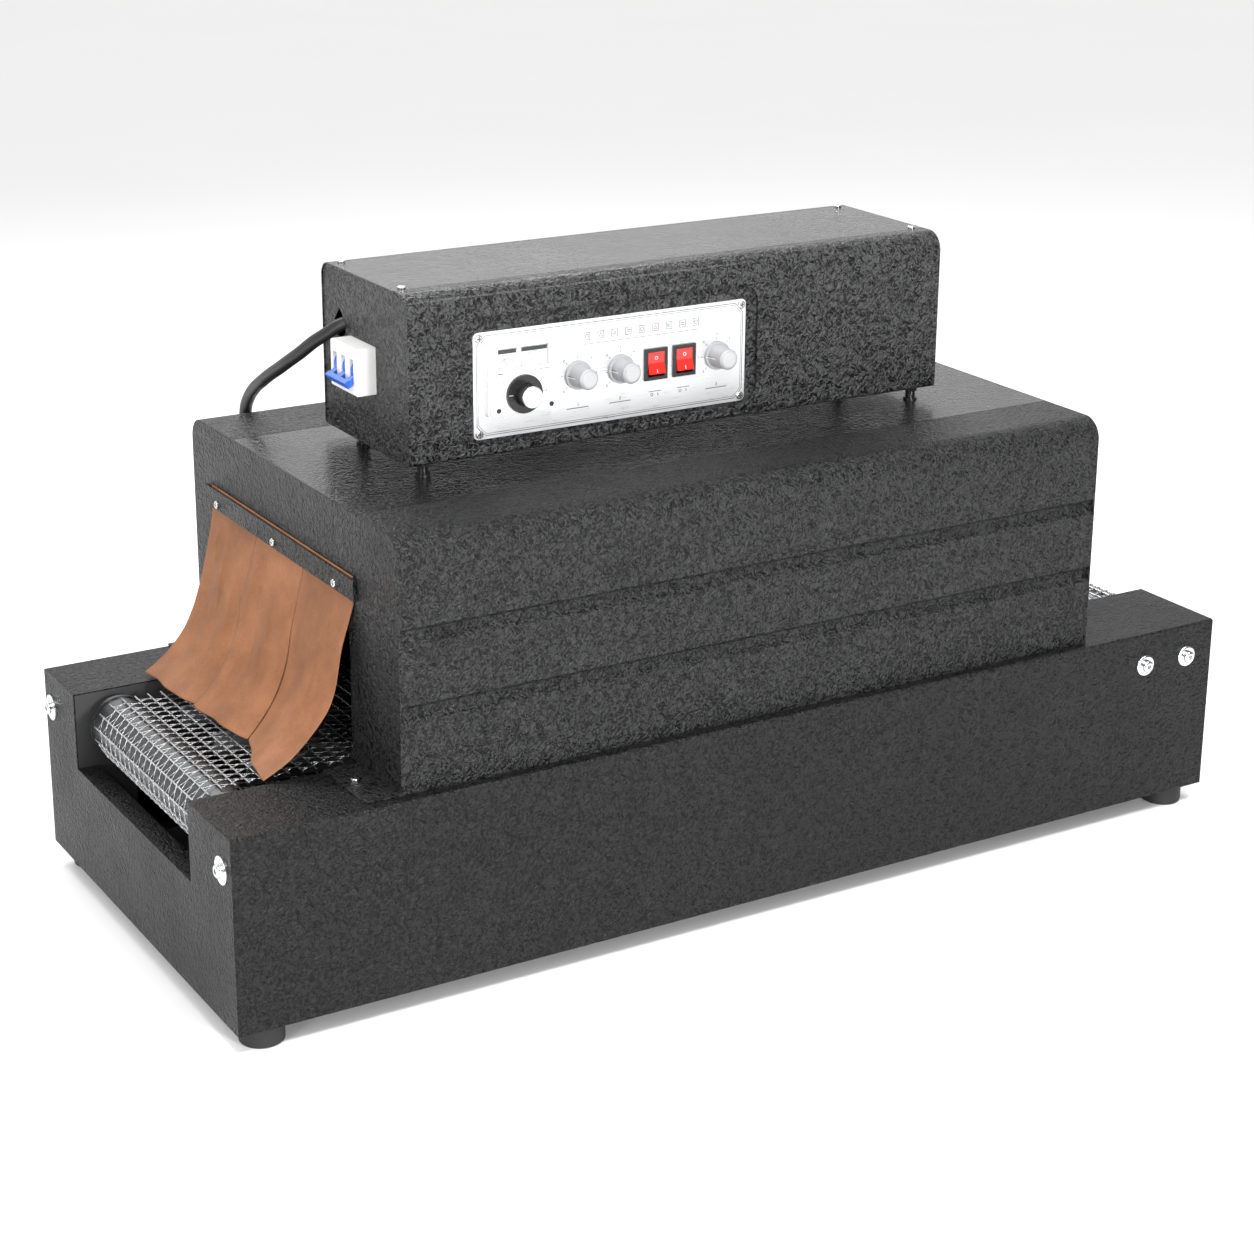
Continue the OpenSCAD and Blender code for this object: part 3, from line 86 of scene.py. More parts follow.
def ramp(tree, fac, stops):
    """Colour ramp through (place, colour) stops."""
    r = tree.nodes.new("ShaderNodeValToRGB")
    el = r.color_ramp.elements
    while len(el) < len(stops):
        el.new(0.5)
    for e, (place, color) in zip(el, stops):
        e.position = place
        e.color = (*color, 1)
    link(tree, fac, r.inputs["Fac"])
    return r.outputs["Color"]


def grey(v):
    return (v, v, v)


def shades(color, share):
    """The colour darkened by a share, clipped to white where the share is negative."""
    return [min(1, c * (1 - share)) for c in color]


def bump(tree, bsdf, height, strength, distance, normal=None):
    b = tree.nodes.new("ShaderNodeBump")
    b.inputs["Strength"].default_value = strength
    b.inputs["Distance"].default_value = distance
    link(tree, height, b.inputs["Height"])
    if normal is not None:
        link(tree, normal, b.inputs["Normal"])
    link(tree, b.outputs["Normal"], bsdf.inputs["Normal"])


def soft_edge(tree, radius):
    b = tree.nodes.new("ShaderNodeBevel")
    b.samples = 4
    b.inputs["Radius"].default_value = radius
    return b.outputs["Normal"]


PAINT_EDGE, METAL_EDGE, PLASTIC_EDGE = 0.0009, 0.0003, 0.0004  # rounding of the edges, in metres


def hammertone(name, dark, light, cell, rough, depth, coat=0.0):
    """Hammered black paint: wormy veins, cell metres across, in colour and relief, and uneven gloss."""
    m, tree, bsdf = new_material(name)
    v = object_coords(tree)
    worm = noise(tree, v, 1 / cell, distortion=1.2)
    broad = noise(tree, v, 9.0)
    veins = [(0.40, dark), (0.49, light), (0.53, light), (0.62, dark)]
    gloss = [(0.3, grey(rough - 0.05)), (0.7, grey(rough + 0.06))]
    link(tree, ramp(tree, worm, veins), bsdf.inputs["Base Color"])
    link(tree, ramp(tree, broad, gloss), bsdf.inputs["Roughness"])
    bsdf.inputs["Specular IOR Level"].default_value = 0.22
    bsdf.inputs["Coat Weight"].default_value = coat
    bsdf.inputs["Coat Roughness"].default_value = 0.15
    bump(tree, bsdf, worm, 1.0, depth, soft_edge(tree, PAINT_EDGE))
    return m


def metal(name, color, rough, stretch=(60, 60, 60), grain=0.08, metallic=1.0):
    """Bare or plated metal, with a fine grain drawn out where its stretch is low."""
    grain_depth = 0.00004
    m, tree, bsdf = new_material(name)
    n = noise(tree, object_coords(tree, stretch), 12.0, 4.0, 0.6)
    tints = [(0.25, shades(color, grain * 1.5)), (0.75, shades(color, -grain))]
    gloss = [(0.2, grey(max(0.04, rough - 0.06))), (0.8, grey(rough + 0.08))]
    link(tree, ramp(tree, n, tints), bsdf.inputs["Base Color"])
    link(tree, ramp(tree, n, gloss), bsdf.inputs["Roughness"])
    bsdf.inputs["Metallic"].default_value = metallic
    bump(tree, bsdf, n, 0.3, grain_depth, soft_edge(tree, METAL_EDGE))
    return m


def plastic(name, color, rough, grain=900.0, depth=0.00003, spread=0.08, coat=0.0):
    """Moulded plastic, rubber or paint with a faint texture."""
    m, tree, bsdf = new_material(name)
    v = object_coords(tree)
    n = noise(tree, v, grain)
    broad = noise(tree, v, 35.0)
    tints = [(0.3, shades(color, spread)), (0.7, shades(color, -spread))]
    gloss = [(0.3, grey(max(0.05, rough - 0.05))), (0.7, grey(rough + 0.06))]
    link(tree, ramp(tree, broad, tints), bsdf.inputs["Base Color"])
    link(tree, ramp(tree, n, gloss), bsdf.inputs["Roughness"])
    bsdf.inputs["Coat Weight"].default_value = coat
    bump(tree, bsdf, n, 0.25, depth, soft_edge(tree, PLASTIC_EDGE))
    return m


def math_node(tree, operation, first, second):
    n = tree.nodes.new("ShaderNodeMath")
    n.operation = operation
    link(tree, first, n.inputs[0])
    link(tree, second, n.inputs[1 if operation == "ADD" else 2])
    return n


def cloth(name):
    """Copper-brown coated glass cloth: a tight weave and a slightly mottled colour."""
    fine_share, weave_scale, weave_depth = 0.28, 260.0, 0.00006
    tints = [(0.38, (0.160, 0.064, 0.0265)), (0.62, (0.235, 0.096, 0.041)), (0.85, (0.325, 0.137, 0.061))]
    m, tree, bsdf = new_material(name)
    v = object_coords(tree)
    mottle = math_node(tree, "MULTIPLY_ADD", noise(tree, v, 420.0), noise(tree, v, 18.0, 4.0, 0.6))
    mottle.inputs[1].default_value = fine_share
    link(tree, ramp(tree, mottle.outputs[0], tints), bsdf.inputs["Base Color"])
    bsdf.inputs["Roughness"].default_value = 0.6
    bsdf.inputs["Specular IOR Level"].default_value = 0.3
    threads = []
    for axis in ("Y", "Z"):
        w = tree.nodes.new("ShaderNodeTexWave")
        w.bands_direction = axis
        w.inputs["Scale"].default_value = weave_scale
        w.inputs["Distortion"].default_value = 0.4
        link(tree, v, w.inputs["Vector"])
        threads.append(w.outputs["Fac"])
    bump(tree, bsdf, math_node(tree, "ADD", *threads).outputs[0], 0.25, weave_depth)
    return m


MATS = {
    "base": hammertone("HammertoneBase", (0.0010, 0.0010, 0.0011), (0.013, 0.0131, 0.0134),
                       cell=0.0052, rough=0.42, depth=0.0034),
    "body": hammertone("HammertoneBody", (0.0022, 0.0023, 0.0025), (0.026, 0.0263, 0.027),
                       cell=0.0052, rough=0.36, depth=0.0034),
    "box": hammertone("HammertoneBox", (0.003, 0.0031, 0.0033), (0.052, 0.0524, 0.0535),
                      cell=0.0060, rough=0.30, depth=0.0052, coat=0.12),
    "top": hammertone("SmoothBlackTop", (0.004, 0.004, 0.0042), (0.016, 0.016, 0.0165),
                      cell=0.0052, rough=0.19, depth=0.0012, coat=0.3),
    "inner": plastic("InnerPaint", (0.03, 0.03, 0.031), 0.5),
    "rubber": plastic("FootRubber", (0.012, 0.012, 0.012), 0.62, spread=0.2),
    "steel": metal("ZincSteel", (0.55, 0.56, 0.58), 0.34, (8, 60, 60)),
    "wire": metal("BeltWire", (0.52, 0.53, 0.54), 0.26),
    "roller": metal("RollerSteel", (0.10, 0.102, 0.105), 0.38, (60, 4, 60)),
    "bright": metal("BrightPlate", (0.82, 0.83, 0.84), 0.16),
    "screw": metal("ScrewSteel", (0.62, 0.61, 0.60), 0.24),
    "dark_steel": metal("DarkSteel", (0.2, 0.2, 0.21), 0.36),
    "motor": plastic("MotorPaint", (0.07, 0.09, 0.12), 0.42),
    "chamber": metal("ChamberSheet", (0.62, 0.62, 0.61), 0.38, (20, 20, 20)),
    "wool": plastic("MineralWool", (0.55, 0.47, 0.28), 0.9, grain=260.0, depth=0.0008, spread=0.3),
    "quartz": plastic("HeaterQuartz", (0.78, 0.75, 0.68), 0.22, coat=0.5),
    "cloth": cloth("CurtainCloth"),
    "standoff": plastic("StandoffBlack", (0.012, 0.012, 0.012), 0.28),
    "panel": metal("PanelSheet", (0.80, 0.81, 0.82), 0.30, (3, 60, 60), grain=0.04, metallic=0.75),
    "white": plastic("ControllerWhite", (0.72, 0.72, 0.71), 0.34, spread=0.03),
    "black": plastic("DialBlack", (0.012, 0.012, 0.012), 0.26),
    "knob": plastic("KnobGrey", (0.33, 0.335, 0.345), 0.36, spread=0.04),
    "bezel": plastic("BezelBlack", (0.014, 0.014, 0.015), 0.3),
    "red": plastic("RockerRed", (0.72, 0.022, 0.016), 0.22, spread=0.05, coat=0.5),
    "breaker": plastic("BreakerWhite", (0.76, 0.76, 0.75), 0.36, spread=0.03),
    "blue": plastic("ToggleBlue", (0.012, 0.10, 0.52), 0.28, spread=0.05),
    "lead": plastic("LeadSheath", (0.012, 0.012, 0.013), 0.42),
    "print": plastic("PanelPrint", (0.05, 0.05, 0.055), 0.5),
    "print_red": plastic("PanelPrintRed", (0.5, 0.05, 0.03), 0.5),
    "clear_grey": plastic("FrameGrey", (0.40, 0.405, 0.41), 0.3, spread=0.04),
    "cap": metal("DialCap", (0.70, 0.71, 0.72), 0.3, (30, 30, 30), grain=0.03),
    "brass": metal("BrassClip", (0.72, 0.50, 0.18), 0.3),
    "mark_white": plastic("MarkWhite", (0.8, 0.78, 0.76), 0.4),
    "mark_orange": plastic("MarkOrange", (0.75, 0.2, 0.05), 0.4),
    "meter": plastic("MeterFace", (0.55, 0.58, 0.60), 0.2, spread=0.12, coat=0.6),
    "meter_dark": plastic("MeterDark", (0.02, 0.02, 0.022), 0.2, coat=0.5),
}

# Which pieces of the frame wear which material
DRESS = {
    "base": "base_front_panel base_back_panel base_end_panels",
    "body": "entry_end_plate exit_end_plate tunnel_front_cover tunnel_back_cover clamp_bars",
    "box": "control_shell control_end_plates",
    "top": "tunnel_top_plate control_top_cover",
    "inner": "bottom_plate side_frames",
    "rubber": "rubber_feet",
    "steel": "belt_bed take_up_blocks idler_shaft drive_shaft tie_rod return_roller",
    "wire": "belt_rods belt_links",
    "roller": "idler_roller drive_roller idler_bearings drive_bearings",
    "bright": "take_up_screw_front take_up_screw_back frame_bolts",
    "screw": "pan_screws",
    "dark_steel": "roller_sprocket motor_sprocket drive_chain",
    "motor": "gear_motor",
    "chamber": "heat_chamber thermocouple",
    "wool": "insulation_wool",
    "quartz": "heater_tubes",
    "cloth": "curtain_hems entry_strip_front entry_strip_middle entry_strip_back "
             "exit_strip_front exit_strip_middle exit_strip_back",
    "standoff": "standoffs",
    "panel": "panel_plate",
    "white": "controller_case",
    "black": "controller_dial",
    "knob": "left_knob middle_knob right_knob",
    "bezel": "switch_bezels",
    "red": "left_rocker right_rocker",
    "breaker": "breaker_body",
    "blue": "breaker_lever",
    "lead": "wiring_lead lead_elbow",
}
for key, names in DRESS.items():
    for n in names.split():
        NODES[n].data.materials.clear()
        NODES[n].data.materials.append(MATS[key])


# ---------------------------------------------------------------- mesh helpers
def mesh_object(name, verts, faces, mat, body=None, smooth=True):
    me = bpy.data.meshes.new(name)
    me.from_pydata([tuple(v) for v in verts], [], [tuple(f) for f in faces])
    me.materials.append(MATS[mat] if isinstance(mat, str) else mat)
    me.update()
    if smooth:
        me.polygons.foreach_set("use_smooth", [True] * len(me.polygons))
    o = bpy.data.objects.new(name, me)
    bpy.context.scene.collection.objects.link(o)
    if body:
        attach(o, body)
    return o


def ring_faces(rings, sides):
    """Faces of a round skin through rings of vertices, with both ends closed."""
    faces = []
    for i in range(rings - 1):
        for k in range(sides):
            a, b = i * sides + k, i * sides + (k + 1) % sides
            faces.append((a, b, b + sides, a + sides))
    faces.append(tuple(range(sides))[::-1])
    faces.append(tuple((rings - 1) * sides + k for k in range(sides)))
    return faces


def tube(path, radius, sides):
    """Vertices and faces of a round tube along a polyline, framed by parallel transport."""
    steep = 0.9  # above this slope the first frame is taken from X instead of Z
    p = np.array(path, float)
    d = np.gradient(p, axis=0)
    d /= np.linalg.norm(d, axis=1)[:, None]
    ref = np.array((0.0, 0.0, 1.0)) if abs(d[0][2]) < steep else np.array((1.0, 0.0, 0.0))
    u = np.cross(d[0], ref)
    u /= np.linalg.norm(u)
    verts = []
    for i in range(len(p)):
        u = u - d[i] * np.dot(u, d[i])
        u /= np.linalg.norm(u)
        w = np.cross(d[i], u)
        for k in range(sides):
            a = 2 * math.pi * k / sides
            verts.append(p[i] + radius * (math.cos(a) * u + math.sin(a) * w))
    return verts, ring_faces(len(p), sides)


def smooth_row(points, t):
    """Catmull-Rom point at share t of a list of points."""
    n = len(points) - 1
    x = min(t * n, n - 1e-9)
    i = int(x)
    f = x - i
    p = [np.array(points[min(max(i + k, 0), n)], float) for k in (-1, 0, 1, 2)]
    return 0.5 * (2 * p[1] + (p[2] - p[0]) * f + (2 * p[0] - 5 * p[1] + 4 * p[2] - p[3]) * f ** 2
                  + (3 * p[1] - p[0] - 3 * p[2] + p[3]) * f ** 3)


def mark_sharp_edges(o, limit=35.0):
    """Keep the edges that turn by more than limit degrees sharp on a smooth piece."""
    me = o.data
    me.update()
    normals = [p.normal.copy() for p in me.polygons]
    edge_faces = {}
    for p in me.polygons:
        for k in p.edge_keys:
            edge_faces.setdefault(k, []).append(p.index)
    sharp = me.attributes.get("sharp_edge") or me.attributes.new("sharp_edge", "BOOLEAN", "EDGE")
    cos = math.cos(math.radians(limit))
    for e in me.edges:
        f = edge_faces.get(tuple(sorted(e.vertices)), [])
        sharp.data[e.index].value = len(f) == 2 and normals[f[0]].dot(normals[f[1]]) < cos


# ---------------------------------------------------------------- mesh belt, in metres
IDLER_X, DRIVE_X, AXIS_Z = -0.518, 0.525, 0.174
ROLLER_R, BELT_GAP, ROD_R = 0.028, 0.0003, 0.0008
RUN_PITCHES, WRAP_PITCHES = 79, 7
WRAP_STEP = math.pi / WRAP_PITCHES
BELT_R = (ROLLER_R + BELT_GAP + ROD_R) / math.cos(WRAP_STEP / 2)
BELT_FRONT, BELT_BACK = -0.120, 0.132
COIL_PITCH, COIL_WIRE_R, COIL_HOOK = 0.0126, 0.00045, 0.00115
COIL_SIDES = 5
COIL_INSET = 0.001
# One turn of a coil: share of the way to the next rod, side of the belt, share of the turn's pitch
COIL_TURN = [(0.0, 1.0, 0.0), (0.5, 1.0, 0.2), (1.0, 1.0, 0.40), (1.0, 0.0, 0.46), (1.0, -1.0, 0.52),
             (0.5, -1.0, 0.72), (0.0, -1.0, 0.92), (0.0, 0.0, 0.97)]


def rod_place(i):
    """(x, z) of cross rod i, counted along the top run, round the drive, back below and round the idler."""
    run, wrap = RUN_PITCHES, WRAP_PITCHES
    step = (DRIVE_X - IDLER_X) / run
    i %= 2 * (run + wrap)
    if i <= run:
        return IDLER_X + step * i, AXIS_Z + BELT_R
    if i < run + wrap:
        a = math.pi / 2 - (i - run) * WRAP_STEP
        return DRIVE_X + BELT_R * math.cos(a), AXIS_Z + BELT_R * math.sin(a)
    if i <= 2 * run + wrap:
        return DRIVE_X - step * (i - run - wrap), AXIS_Z - BELT_R
    a = -math.pi / 2 - (i - 2 * run - wrap) * WRAP_STEP
    return IDLER_X + BELT_R * math.cos(a), AXIS_Z + BELT_R * math.sin(a)


def belt_wires():
    """Flattened wire coils that join each cross rod to the next."""
    turns = int((BELT_BACK - BELT_FRONT) / COIL_PITCH) - 1
    verts, faces = [], []
    for i in range(2 * (RUN_PITCHES + WRAP_PITCHES)):
        p, q = Vector(rod_place(i)), Vector(rod_place(i + 1))
        u = (q - p).normalized()
        n = Vector((-u[1], u[0]))
        if n.dot(p - Vector((IDLER_X if p[0] < 0 else DRIVE_X, AXIS_Z))) < 0:
            n = -n
        y = BELT_FRONT + COIL_INSET + (COIL_PITCH / 2 if i % 2 else 0.0)
        path = []
        for t in range(turns):
            for along, out, s in COIL_TURN:
                c = p.lerp(q, along) + n * out * COIL_HOOK
                if out == 0.0:
                    c += u * COIL_HOOK * (1 if along > 0.5 else -1)
                path.append((c[0], y + (t + s) * COIL_PITCH, c[1]))
        v, f = tube(path, COIL_WIRE_R, COIL_SIDES)
        base = len(verts)
        verts += v
        faces += [tuple(a + base for a in g) for g in f]
    o = mesh_object("BeltWires", verts, faces, "wire", HOUSING)
    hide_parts("belt_links")


belt_wires()


# ---------------------------------------------------------------- curtains, in millimetres
STRIP_Y = (-138, -29, 80, 189)  # the strips' edges at their clamped ends, from the front
STRIP_PLACES = ("front", "middle", "back")
HEM_X, HEM_TOP, HEM_LOW = -392.4, 389, 367
EXIT_HEM_X, EXIT_REACH = 395.4, 0.36
STRIP_GAP, STRIP_LAP, STRIP_LIFT = 0.4, 3.0, 2.2  # the middle strip laps over its neighbours
STRIP_BELLY, CREASE_HALF_WIDTH = 3.0, 0.03
STRIP_THICK = 0.7

# Edges of the entry strips from the top down: front edge, two slits, back edge
ENTRY_EDGES = [
    [(HEM_X, -138, HEM_TOP), (HEM_X, -138, HEM_LOW), (-393, -138, 361), (-399, -138, 343),
     (-406, -138, 322), (-410, -138, 303), (-414, -138, 285), (-422, -138, 266),
     (-438, -138, 246), (-461, -138, 225), (-487, -138, 211)],
    [(HEM_X, -29, HEM_TOP), (HEM_X, -29, HEM_LOW), (-393, -29, 361), (-398, -30, 343),
     (-404, -31, 322), (-409, -32, 303), (-413, -34, 285), (-420, -36, 265),
     (-430, -38, 246), (-444, -40, 228), (-459, -42, 213)],
    [(HEM_X, 80, HEM_TOP), (HEM_X, 80, HEM_LOW), (-393, 80, 361), (-398, 79, 343),
     (-404, 78, 322), (-410, 76, 303), (-414, 73, 285), (-422, 69, 265),
     (-434, 65, 246), (-451, 60, 228), (-470, 56, 213)],
    [(HEM_X, 189, HEM_TOP), (HEM_X, 189, HEM_LOW), (-393, 189, 361), (-396, 189, 343),
     (-400, 189, 325), (-405, 188, 305), (-411, 187, 285), (-420, 184, 264),
     (-434, 179, 244), (-455, 174, 226), (-479, 168, 213)],
]

# Sharp creases of each strip: place across it, lean, start and end down it, height
CREASES = [
    [(0.30, 0.10, 0.30, 0.85, 2.2), (0.72, -0.15, 0.24, 0.6, 1.6), (0.12, 0.05, 0.5, 0.98, -1.6)],
    [(0.35, 0.06, 0.28, 0.9, 2.0), (0.68, -0.05, 0.35, 0.95, -1.7), (0.86, 0.0, 0.22, 0.55, 1.4)],
    [(0.55, -0.12, 0.24, 0.7, 2.0), (0.8, -0.25, 0.22, 0.48, 2.6), (0.25, 0.05, 0.45, 0.95, 1.5)],
]


def exit_edges():
    """The exit strips hang straighter: the entry's shape mirrored, with a third of its reach and no drift."""
    free_z, drop = 300, 1.5
    return [[(EXIT_HEM_X + (HEM_X - x) * EXIT_REACH, y, min(z, HEM_TOP) if z > free_z else z - drop)
             for x, _, z in ENTRY_EDGES[1]] for y in STRIP_Y]


def strip_relief(s, t, free, index, phase):
    """How far a strip stands out at share s across and t down: waves, belly, creases and lap."""
    ripple = 1.3 * math.sin(2 * math.pi * (s * 1.3) + phase[0])
    ripple += 0.6 * math.sin(2 * math.pi * s * 2.6 + phase[1] + 2 * t)
    belly = STRIP_BELLY * math.sin(math.pi * s) * (free ** 1.5)
    crease = 0.0
    for place, lean, start, end, height in CREASES[index]:
        along = min(max((t - start) / (end - start), 0.0), 1.0)
        across = abs(s - place - lean * (t - start)) / CREASE_HALF_WIDTH
        crease += height * math.sin(math.pi * along) * math.exp(-across) * 1.5
    return free * ripple + belly + crease + (STRIP_LIFT * free if index == 1 else 0.0)


def strip_middle(edges, index, side, rows, cols):
    """The middle surface of a strip, as rows of points from its clamped hem down."""
    a, b = edges[index], edges[index + 1]
    rng = np.random.default_rng(40 + index + (10 if side > 0 else 0))
    phase = rng.uniform(0, 6.28, 4)
    middle = np.zeros((rows + 1, cols + 1, 3))
    for j in range(rows + 1):
        t = j / rows
        left, right = smooth_row(a, t), smooth_row(b, t)
        free = np.clip((t - 0.22) / 0.5, 0, 1)
        lap = STRIP_LAP * free if index == 1 else 0.0
        left[1] += STRIP_GAP - lap
        right[1] -= STRIP_GAP - lap
        for k in range(cols + 1):
            s = k / cols
            middle[j, k] = left * (1 - s) + right * s
            middle[j, k, 0] += side * strip_relief(s, t, free, index, phase)
    return middle


def thick_sheet(middle, thick):
    """Vertices and faces of a thin closed sheet about its middle surface."""
    rows, cols = middle.shape[0] - 1, middle.shape[1] - 1
    normal = np.cross(np.gradient(middle, axis=1), np.gradient(middle, axis=0))
    normal /= np.linalg.norm(normal, axis=2)[:, :, None]
    half = thick / 2
    skins = [(middle + normal * half).reshape(-1, 3), (middle - normal * half).reshape(-1, 3)]
    n = (rows + 1) * (cols + 1)
    w = cols + 1
    faces = []
    for j in range(rows):
        for k in range(cols):
            g = j * w + k
            faces.append((g, g + 1, g + w + 1, g + w))
            faces.append((g + n, g + w + n, g + w + 1 + n, g + 1 + n))
    for j in range(rows):
        g = j * w
        faces.append((g, g + w, g + w + n, g + n))
        g += cols
        faces.append((g + w, g, g + n, g + w + n))
    for k in range(cols):
        faces.append((k + 1, k, k + n, k + 1 + n))
        g = rows * w + k
        faces.append((g, g + 1, g + 1 + n, g + n))
    return np.concatenate(skins), faces


def curtain_strip(name, edges, index, side, rows=90, cols=44):
    """One strip of the curtain, held at its clamped hem and bending below it."""
    middle = strip_middle(edges, index, side, rows, cols)
    verts, faces = thick_sheet(middle, STRIP_THICK)
    o = mesh_object(name, verts * MM, faces, "cloth", None)
    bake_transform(o)
    return o


for mouth, edges, side in (("entry", ENTRY_EDGES, -1), ("exit", exit_edges(), 1)):
    for i, place in enumerate(STRIP_PLACES):
        node = "%s_strip_%s" % (mouth, place)
        strip = curtain_strip("Curtain_" + node, edges, i, side)
        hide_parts(node)
        if side < 0 and i == 0:
            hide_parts("curtain_hems")


# ---------------------------------------------------------------- printed marks, in millimetres
# For each viewing axis: the direction across, the direction up and the direction of view
AXES = {"x": ((0, 1, 0), (0, 0, 1), (1, 0, 0)),
        "y": ((1, 0, 0), (0, 0, 1), (0, 1, 0)),
        "z": ((1, 0, 0), (0, 1, 0), (0, 0, -1))}
RAY_BACK, RAY_LENGTH = 2.0, 4.0  # metres
PRINT_LIFT, PRINT_ROOT = 0.00015, 0.00005  # metres above and below the surface
TREES = {}


def surface(node):
    if node not in TREES:
        me = NODES[node].data
        corners_of = [tuple(p.vertices) for p in me.polygons]
        TREES[node] = BVHTree.FromPolygons([v.co[:] for v in me.vertices], corners_of)
    return TREES[node]


def front_y(node, x, z):
    """Y of the node's foremost surface at (x, z)."""
    hit = surface(node).ray_cast(Vector((x * MM, -RAY_BACK, z * MM)), Vector((0, 1, 0)), RAY_LENGTH)[0]
    return hit[1] / MM


def marks(name, polys, axis, node, mat, body=HOUSING, lift=PRINT_LIFT):
    """Flat printed shapes laid on a node's surface; polys are lists of (across, up) along the axis."""
    a, b, d = (Vector(v) for v in AXES[axis])
    tree = surface(node)
    verts, faces = [], []
    for poly in polys:
        hits = [tree.ray_cast(a * u * MM + b * w * MM - d * RAY_BACK, d, RAY_LENGTH)[0] for u, w in poly]
        if any(p is None for p in hits):
            continue
        base, n = len(verts), len(hits)
        verts += [p - d * lift for p in hits] + [p + d * PRINT_ROOT for p in hits]
        top = list(range(base, base + n))
        turn = sum(p[0] * q[1] - q[0] * p[1] for p, q in zip(poly, poly[1:] + poly[:1]))
        flip = (turn > 0) == (a.cross(b).dot(d) > 0)
        faces.append(tuple(top[::-1] if flip else top))
        for i in range(n):
            j = (i + 1) % n
            side = (base + i, base + j, base + n + j, base + n + i)
            faces.append(side if flip else side[::-1])
    return mesh_object(name, verts, faces, mat, body, smooth=False)


def stroke(points, width, closed=False):
    """A line of one width through the points, as one four-sided shape a stretch."""
    shortest = 1e-6
    out = []
    n = len(points)
    for i in range(n if closed else n - 1):
        p, q = Vector(points[i]), Vector(points[(i + 1) % n])
        d = q - p
        if d.length < shortest:
            continue
        t = d.normalized() * width / 2
        m = Vector((-t[1], t[0]))
        out.append([tuple(p - t + m), tuple(p - t - m), tuple(q + t - m), tuple(q + t + m)])
    return out


def corners(x0, z0, x1, z1):
    return [(x0, z0), (x1, z0), (x1, z1), (x0, z1)]


def box2(x0, z0, x1, z1):
    return [corners(x0, z0, x1, z1)]


def outline(x0, z0, x1, z1, width):
    return stroke(corners(x0, z0, x1, z1), width, closed=True)


def polar(c, r, degrees):
    t = math.radians(degrees)
    return (c[0] + r * math.cos(t), c[1] + r * math.sin(t))


def ring(c, r, width, sides=28, start=0.0, end=360.0):
    out = []
    for i in range(sides):
        a0, a1 = (start + (end - start) * k / sides for k in (i, i + 1))
        out.append([polar(c, r + e, a) for a, e in ((a0, -width / 2), (a0, width / 2),
                                                    (a1, width / 2), (a1, -width / 2))])
    return out


def disc(c, r, sides=24):
    return [[polar(c, r, 360 * k / sides) for k in range(sides)]]


# The seven strokes of a plain numeral, in half widths and half heights, and the strokes of each
GLYPH = {"a": ((-1, 1), (1, 1)), "b": ((1, 1), (1, 0)), "c": ((1, 0), (1, -1)), "d": ((-1, -1), (1, -1)),
         "e": ((-1, 0), (-1, -1)), "f": ((-1, 1), (-1, 0)), "g": ((-1, 0), (1, 0))}
SEGMENTS = {"0": "abcdef", "1": "bc", "2": "abged", "3": "abgcd", "4": "fgbc",
            "5": "afgcd", "6": "afgedc", "7": "abc", "8": "abcdefg", "9": "abcdfg"}


def digits(text, c, h):
    """Plain numerals of height h made of straight strokes, centred on c."""
    w, line, advance = h * 0.5, h * 0.14, 1.6
    out = []
    for i, ch in enumerate(text):
        x = c[0] + (i - (len(text) - 1) / 2) * w * advance
        for seg in SEGMENTS[ch]:
            out += stroke([(x + u * w / 2, c[1] + v * h / 2) for u, v in GLYPH[seg]], line)
    return out


def scale_marks(c, inner, outer, angles, size, number_r):
    """Ticks round c at the angles, numbered from 0."""
    tick_w = 0.45
    out = []
    for i, a in enumerate(angles):
        out += stroke([polar(c, inner, a), polar(c, outer, a)], tick_w)
        out += digits(str(i), polar(c, number_r, a), size)
    return out


def lathe(name, profile, centre, mat, body, sides=56):
    """Turned piece about the Y axis: profile is (radius, y) from the back to the front."""
    verts = []
    for r, y in profile:
        for k in range(sides):
            a = 2 * math.pi * k / sides
            verts.append(((centre[0] + r * math.cos(a)) * MM, y * MM, (centre[1] + r * math.sin(a)) * MM))
    o = mesh_object(name, verts, ring_faces(len(profile), sides), mat, body)
    mark_sharp_edges(o)


# Places on the panel, as (x, z)
PANEL = (-237.0, 477.5, 63.0, 579.5)
KNOB_X, KNOB_Z = (-126.0, -79.0, 30.0), 527.0
ROCKER_X, ROCKER_RING_Z = (-40.0, -8.0), 533.2
DIAL = (-189.0, 519.0)
CASE_LINE = (-222.6, 501.4, -155.4, 568.6)
KNOB_NODES = ("left_knob", "middle_knob", "right_knob")
ROCKER_NODES = ("left_rocker", "right_rocker")
LINE, THIN, THICK_LINE = 0.5, 0.35, 0.55


def notched_border(inset, notch, width):
    """A line round the panel whose corners step in at 45 degrees."""
    a, c, b, d = PANEL[0] + inset, PANEL[1] + inset, PANEL[2] - inset, PANEL[3] - inset
    n, m = notch, notch * 0.45
    pts = [(a + n, c), (b - n, c), (b - m, c + m), (b, c + n), (b, d - n), (b - m, d - m),
           (b - n, d), (a + n, d), (a + m, d - m), (a, d - n), (a, c + n), (a + m, c + m)]
    return stroke(pts, width, closed=True)


def knob_print(number, cx):
    """The scale round a knob and the plain number under it."""
    out = scale_marks((cx, KNOB_Z), 16.0, 18.2, [225, 180, 135, 90, 45, 0, -45], 2.1, 21.0)
    out += box2(cx - 12, 494.2, cx + 12, 494.9)
    return out + digits(str(number), (cx, 498.0), 2.6)


def rocker_print(cx):
    """The off ring and on bar under a rocker switch."""
    out = box2(cx - 7, 499.6, cx + 7, 500.1)
    out += ring((cx - 3.4, 496.6), 1.3, LINE, 16)
    return out + box2(cx + 3.1, 495.3, cx + 3.7, 497.9)


